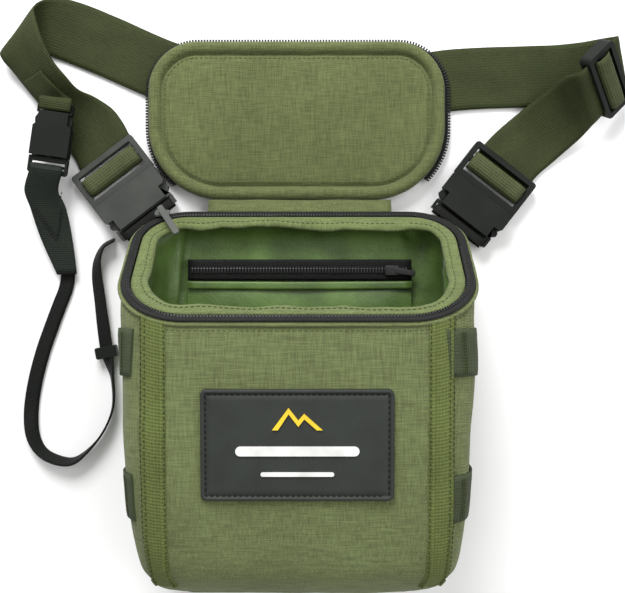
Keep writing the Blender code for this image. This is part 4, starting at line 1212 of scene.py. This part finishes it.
def small_place():
    """The small buckle's matrix, with its +Y from the female's end down to the male's frame."""
    down = Vector((-0.140, -0.990, 0.0)).normalized()
    across = -UP.cross(down).normalized()
    up = across.cross(down)
    start = Vector((-0.1478, 0.1745, 0.0150)) - down * SMALL_END - up * SMALL_MIDDLE
    return Matrix(((across.x, down.x, up.x, start.x), (across.y, down.y, up.y, start.y),
                   (across.z, down.z, up.z, start.z), (0, 0, 0, 1)))


def paint_plain_parts():
    """Looks for the CAD nodes that keep their own shape."""
    for node in ("small_buckle_female", "small_buckle_male", "small_release_arm_a", "small_release_arm_b",
                 "tether_lock", "tri_glide"):
        paint(node, PLASTIC_DARK)
    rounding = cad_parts["tri_glide"].modifiers.new("Rounded edges", "BEVEL")
    rounding.width, rounding.segments = 0.0005, 2
    paint("zip_slider", PULL)
    paint("zip_pull", PULL)
    paint("back_panel", PANEL_CLOTH)


LEADER_LOWER = (  # the two edges of the leader where it narrows towards the tether
    ((-0.1475, 0.1215, 0.0130), (-0.1680, 0.1230, 0.0130)), ((-0.1440, 0.1120, 0.0090), (-0.1655, 0.1120, 0.0090)),
    ((-0.1410, 0.0930, 0.0052), (-0.1600, 0.0930, 0.0052)), ((-0.1385, 0.0715, 0.0042), (-0.1505, 0.0710, 0.0042)),
)


def make_leader(place):
    """The webbing below the small buckle, with its rows of V-shaped stitching."""
    edges = [(place @ Vector((-0.0098, y, z)), place @ Vector((0.0098, y, z)))
             for y, z in ((-0.0052, SMALL_MIDDLE - 0.0034), (-0.0052, SMALL_MIDDLE + 0.0014),
                          (-0.0040, SMALL_MIDDLE + 0.0034), (-0.0010, SMALL_MIDDLE + 0.0034))]
    edges += strap_pairs(LEADER_LOWER)
    ribbon("leader_cloth", edges, LEADER, "small_male", "black_webbing", 0.0018, 6, 10, 0.0003, ("leader_webbing",))
    upper, lower = edges[5], edges[6]
    runs = []
    for shift in (0.0, 0.0024, 0.0100):
        path = [a.lerp(b, share) + Vector((0, shift, 0.0013))
                for (a, b), share in ((upper, 0.10), (lower, 0.46), (lower, 0.54), (upper, 0.90))]
        runs.append((path, [UP] * len(path)))
    stitches("leader_stitches", runs, THREAD_BLACK, "small_male", "black_webbing", 0.0022, 0.0017, 0.0003)


def left_strap_at(number, share, lift):
    """A point over the left webbing, at one of its stations and a share of its width."""
    before, here, after = (Vector(a).lerp(Vector(b), share) for a, b in STRAP_LEFT[number - 1:number + 2])
    low, high = STRAP_LEFT[number]
    normal = (Vector(high) - Vector(low)).cross(after - before).normalized()
    if normal.z < 0:
        normal.negate()
    return here + normal * lift


def make_sewn_strap(place):
    """The strap that holds the small female, sewn flat on to the left webbing."""
    sewn = [(left_strap_at(number, a, 0.0020), left_strap_at(number, b, 0.0020))
            for number, a, b in ((6, 0.12, 0.66), (7, 0.14, 0.68), (8, 0.16, 0.72))]
    slot = SMALL_END + SLOT_FROM_END
    tail = [(place @ Vector((-0.0096, y, z)), place @ Vector((0.0096, y, z)))
            for y, z in ((SMALL_END - 0.0030, SMALL_MIDDLE + 0.0034), (slot - 0.0006, SMALL_MIDDLE + 0.0034),
                         (slot, SMALL_MIDDLE + 0.0016), (slot, SMALL_MIDDLE - 0.0020))]
    if (sewn[0][1] - sewn[0][0]).dot(tail[-1][1] - tail[-1][0]) < 0:
        tail = [tuple(reversed(pair)) for pair in tail]
    ribbon("sewn_strap_webbing", sewn + tail, STRAP, "left_strap", "green_webbing", 0.0013, 6, 8, 0.0,
           ("sewn_strap",))


# ---------------------------------------------------------------- studio


def make_studio():
    """A white floor, soft light from all round, and two lamps."""
    floor = bpy.data.meshes.new("studio_floor")
    floor.from_pydata([(-3, -3, -0.0005), (3, -3, -0.0005), (3, 3, -0.0005), (-3, 3, -0.0005)], [], [(0, 1, 2, 3)])
    look = Nodes("studio_white", (0.93, 0.93, 0.93), 0.9)
    floor.materials.append(look.material)
    add_object("studio_floor", floor)
    world = bpy.data.worlds.new("studio")
    world.use_nodes = True
    world.node_tree.nodes["Background"].inputs["Color"].default_value = (1, 1, 1, 1)
    world.node_tree.nodes["Background"].inputs["Strength"].default_value = 0.58
    bpy.context.scene.world = world
    for name, location, size, energy in (("key", (-0.30, 1.25, 0.95), 0.7, 27.0),
                                         ("fill", (0.75, 0.30, 1.1), 0.9, 7.0)):
        light = bpy.data.lights.new(name, "AREA")
        light.size = size
        light.energy = energy
        placed = add_object(name, light)
        placed.location = location
        placed.rotation_euler = (Vector((0, 0.06, 0)) - Vector(location)).to_track_quat("-Z", "Y").to_euler()


make_body()
make_lining()
make_mouth()
make_pocket()
make_front_tapes()
make_patch()
make_side_loops()
make_lid()
make_harness()
make_large_buckles()
paint_plain_parts()
make_glide_wrap()
make_leader(small_place())
make_sewn_strap(small_place())
make_studio()
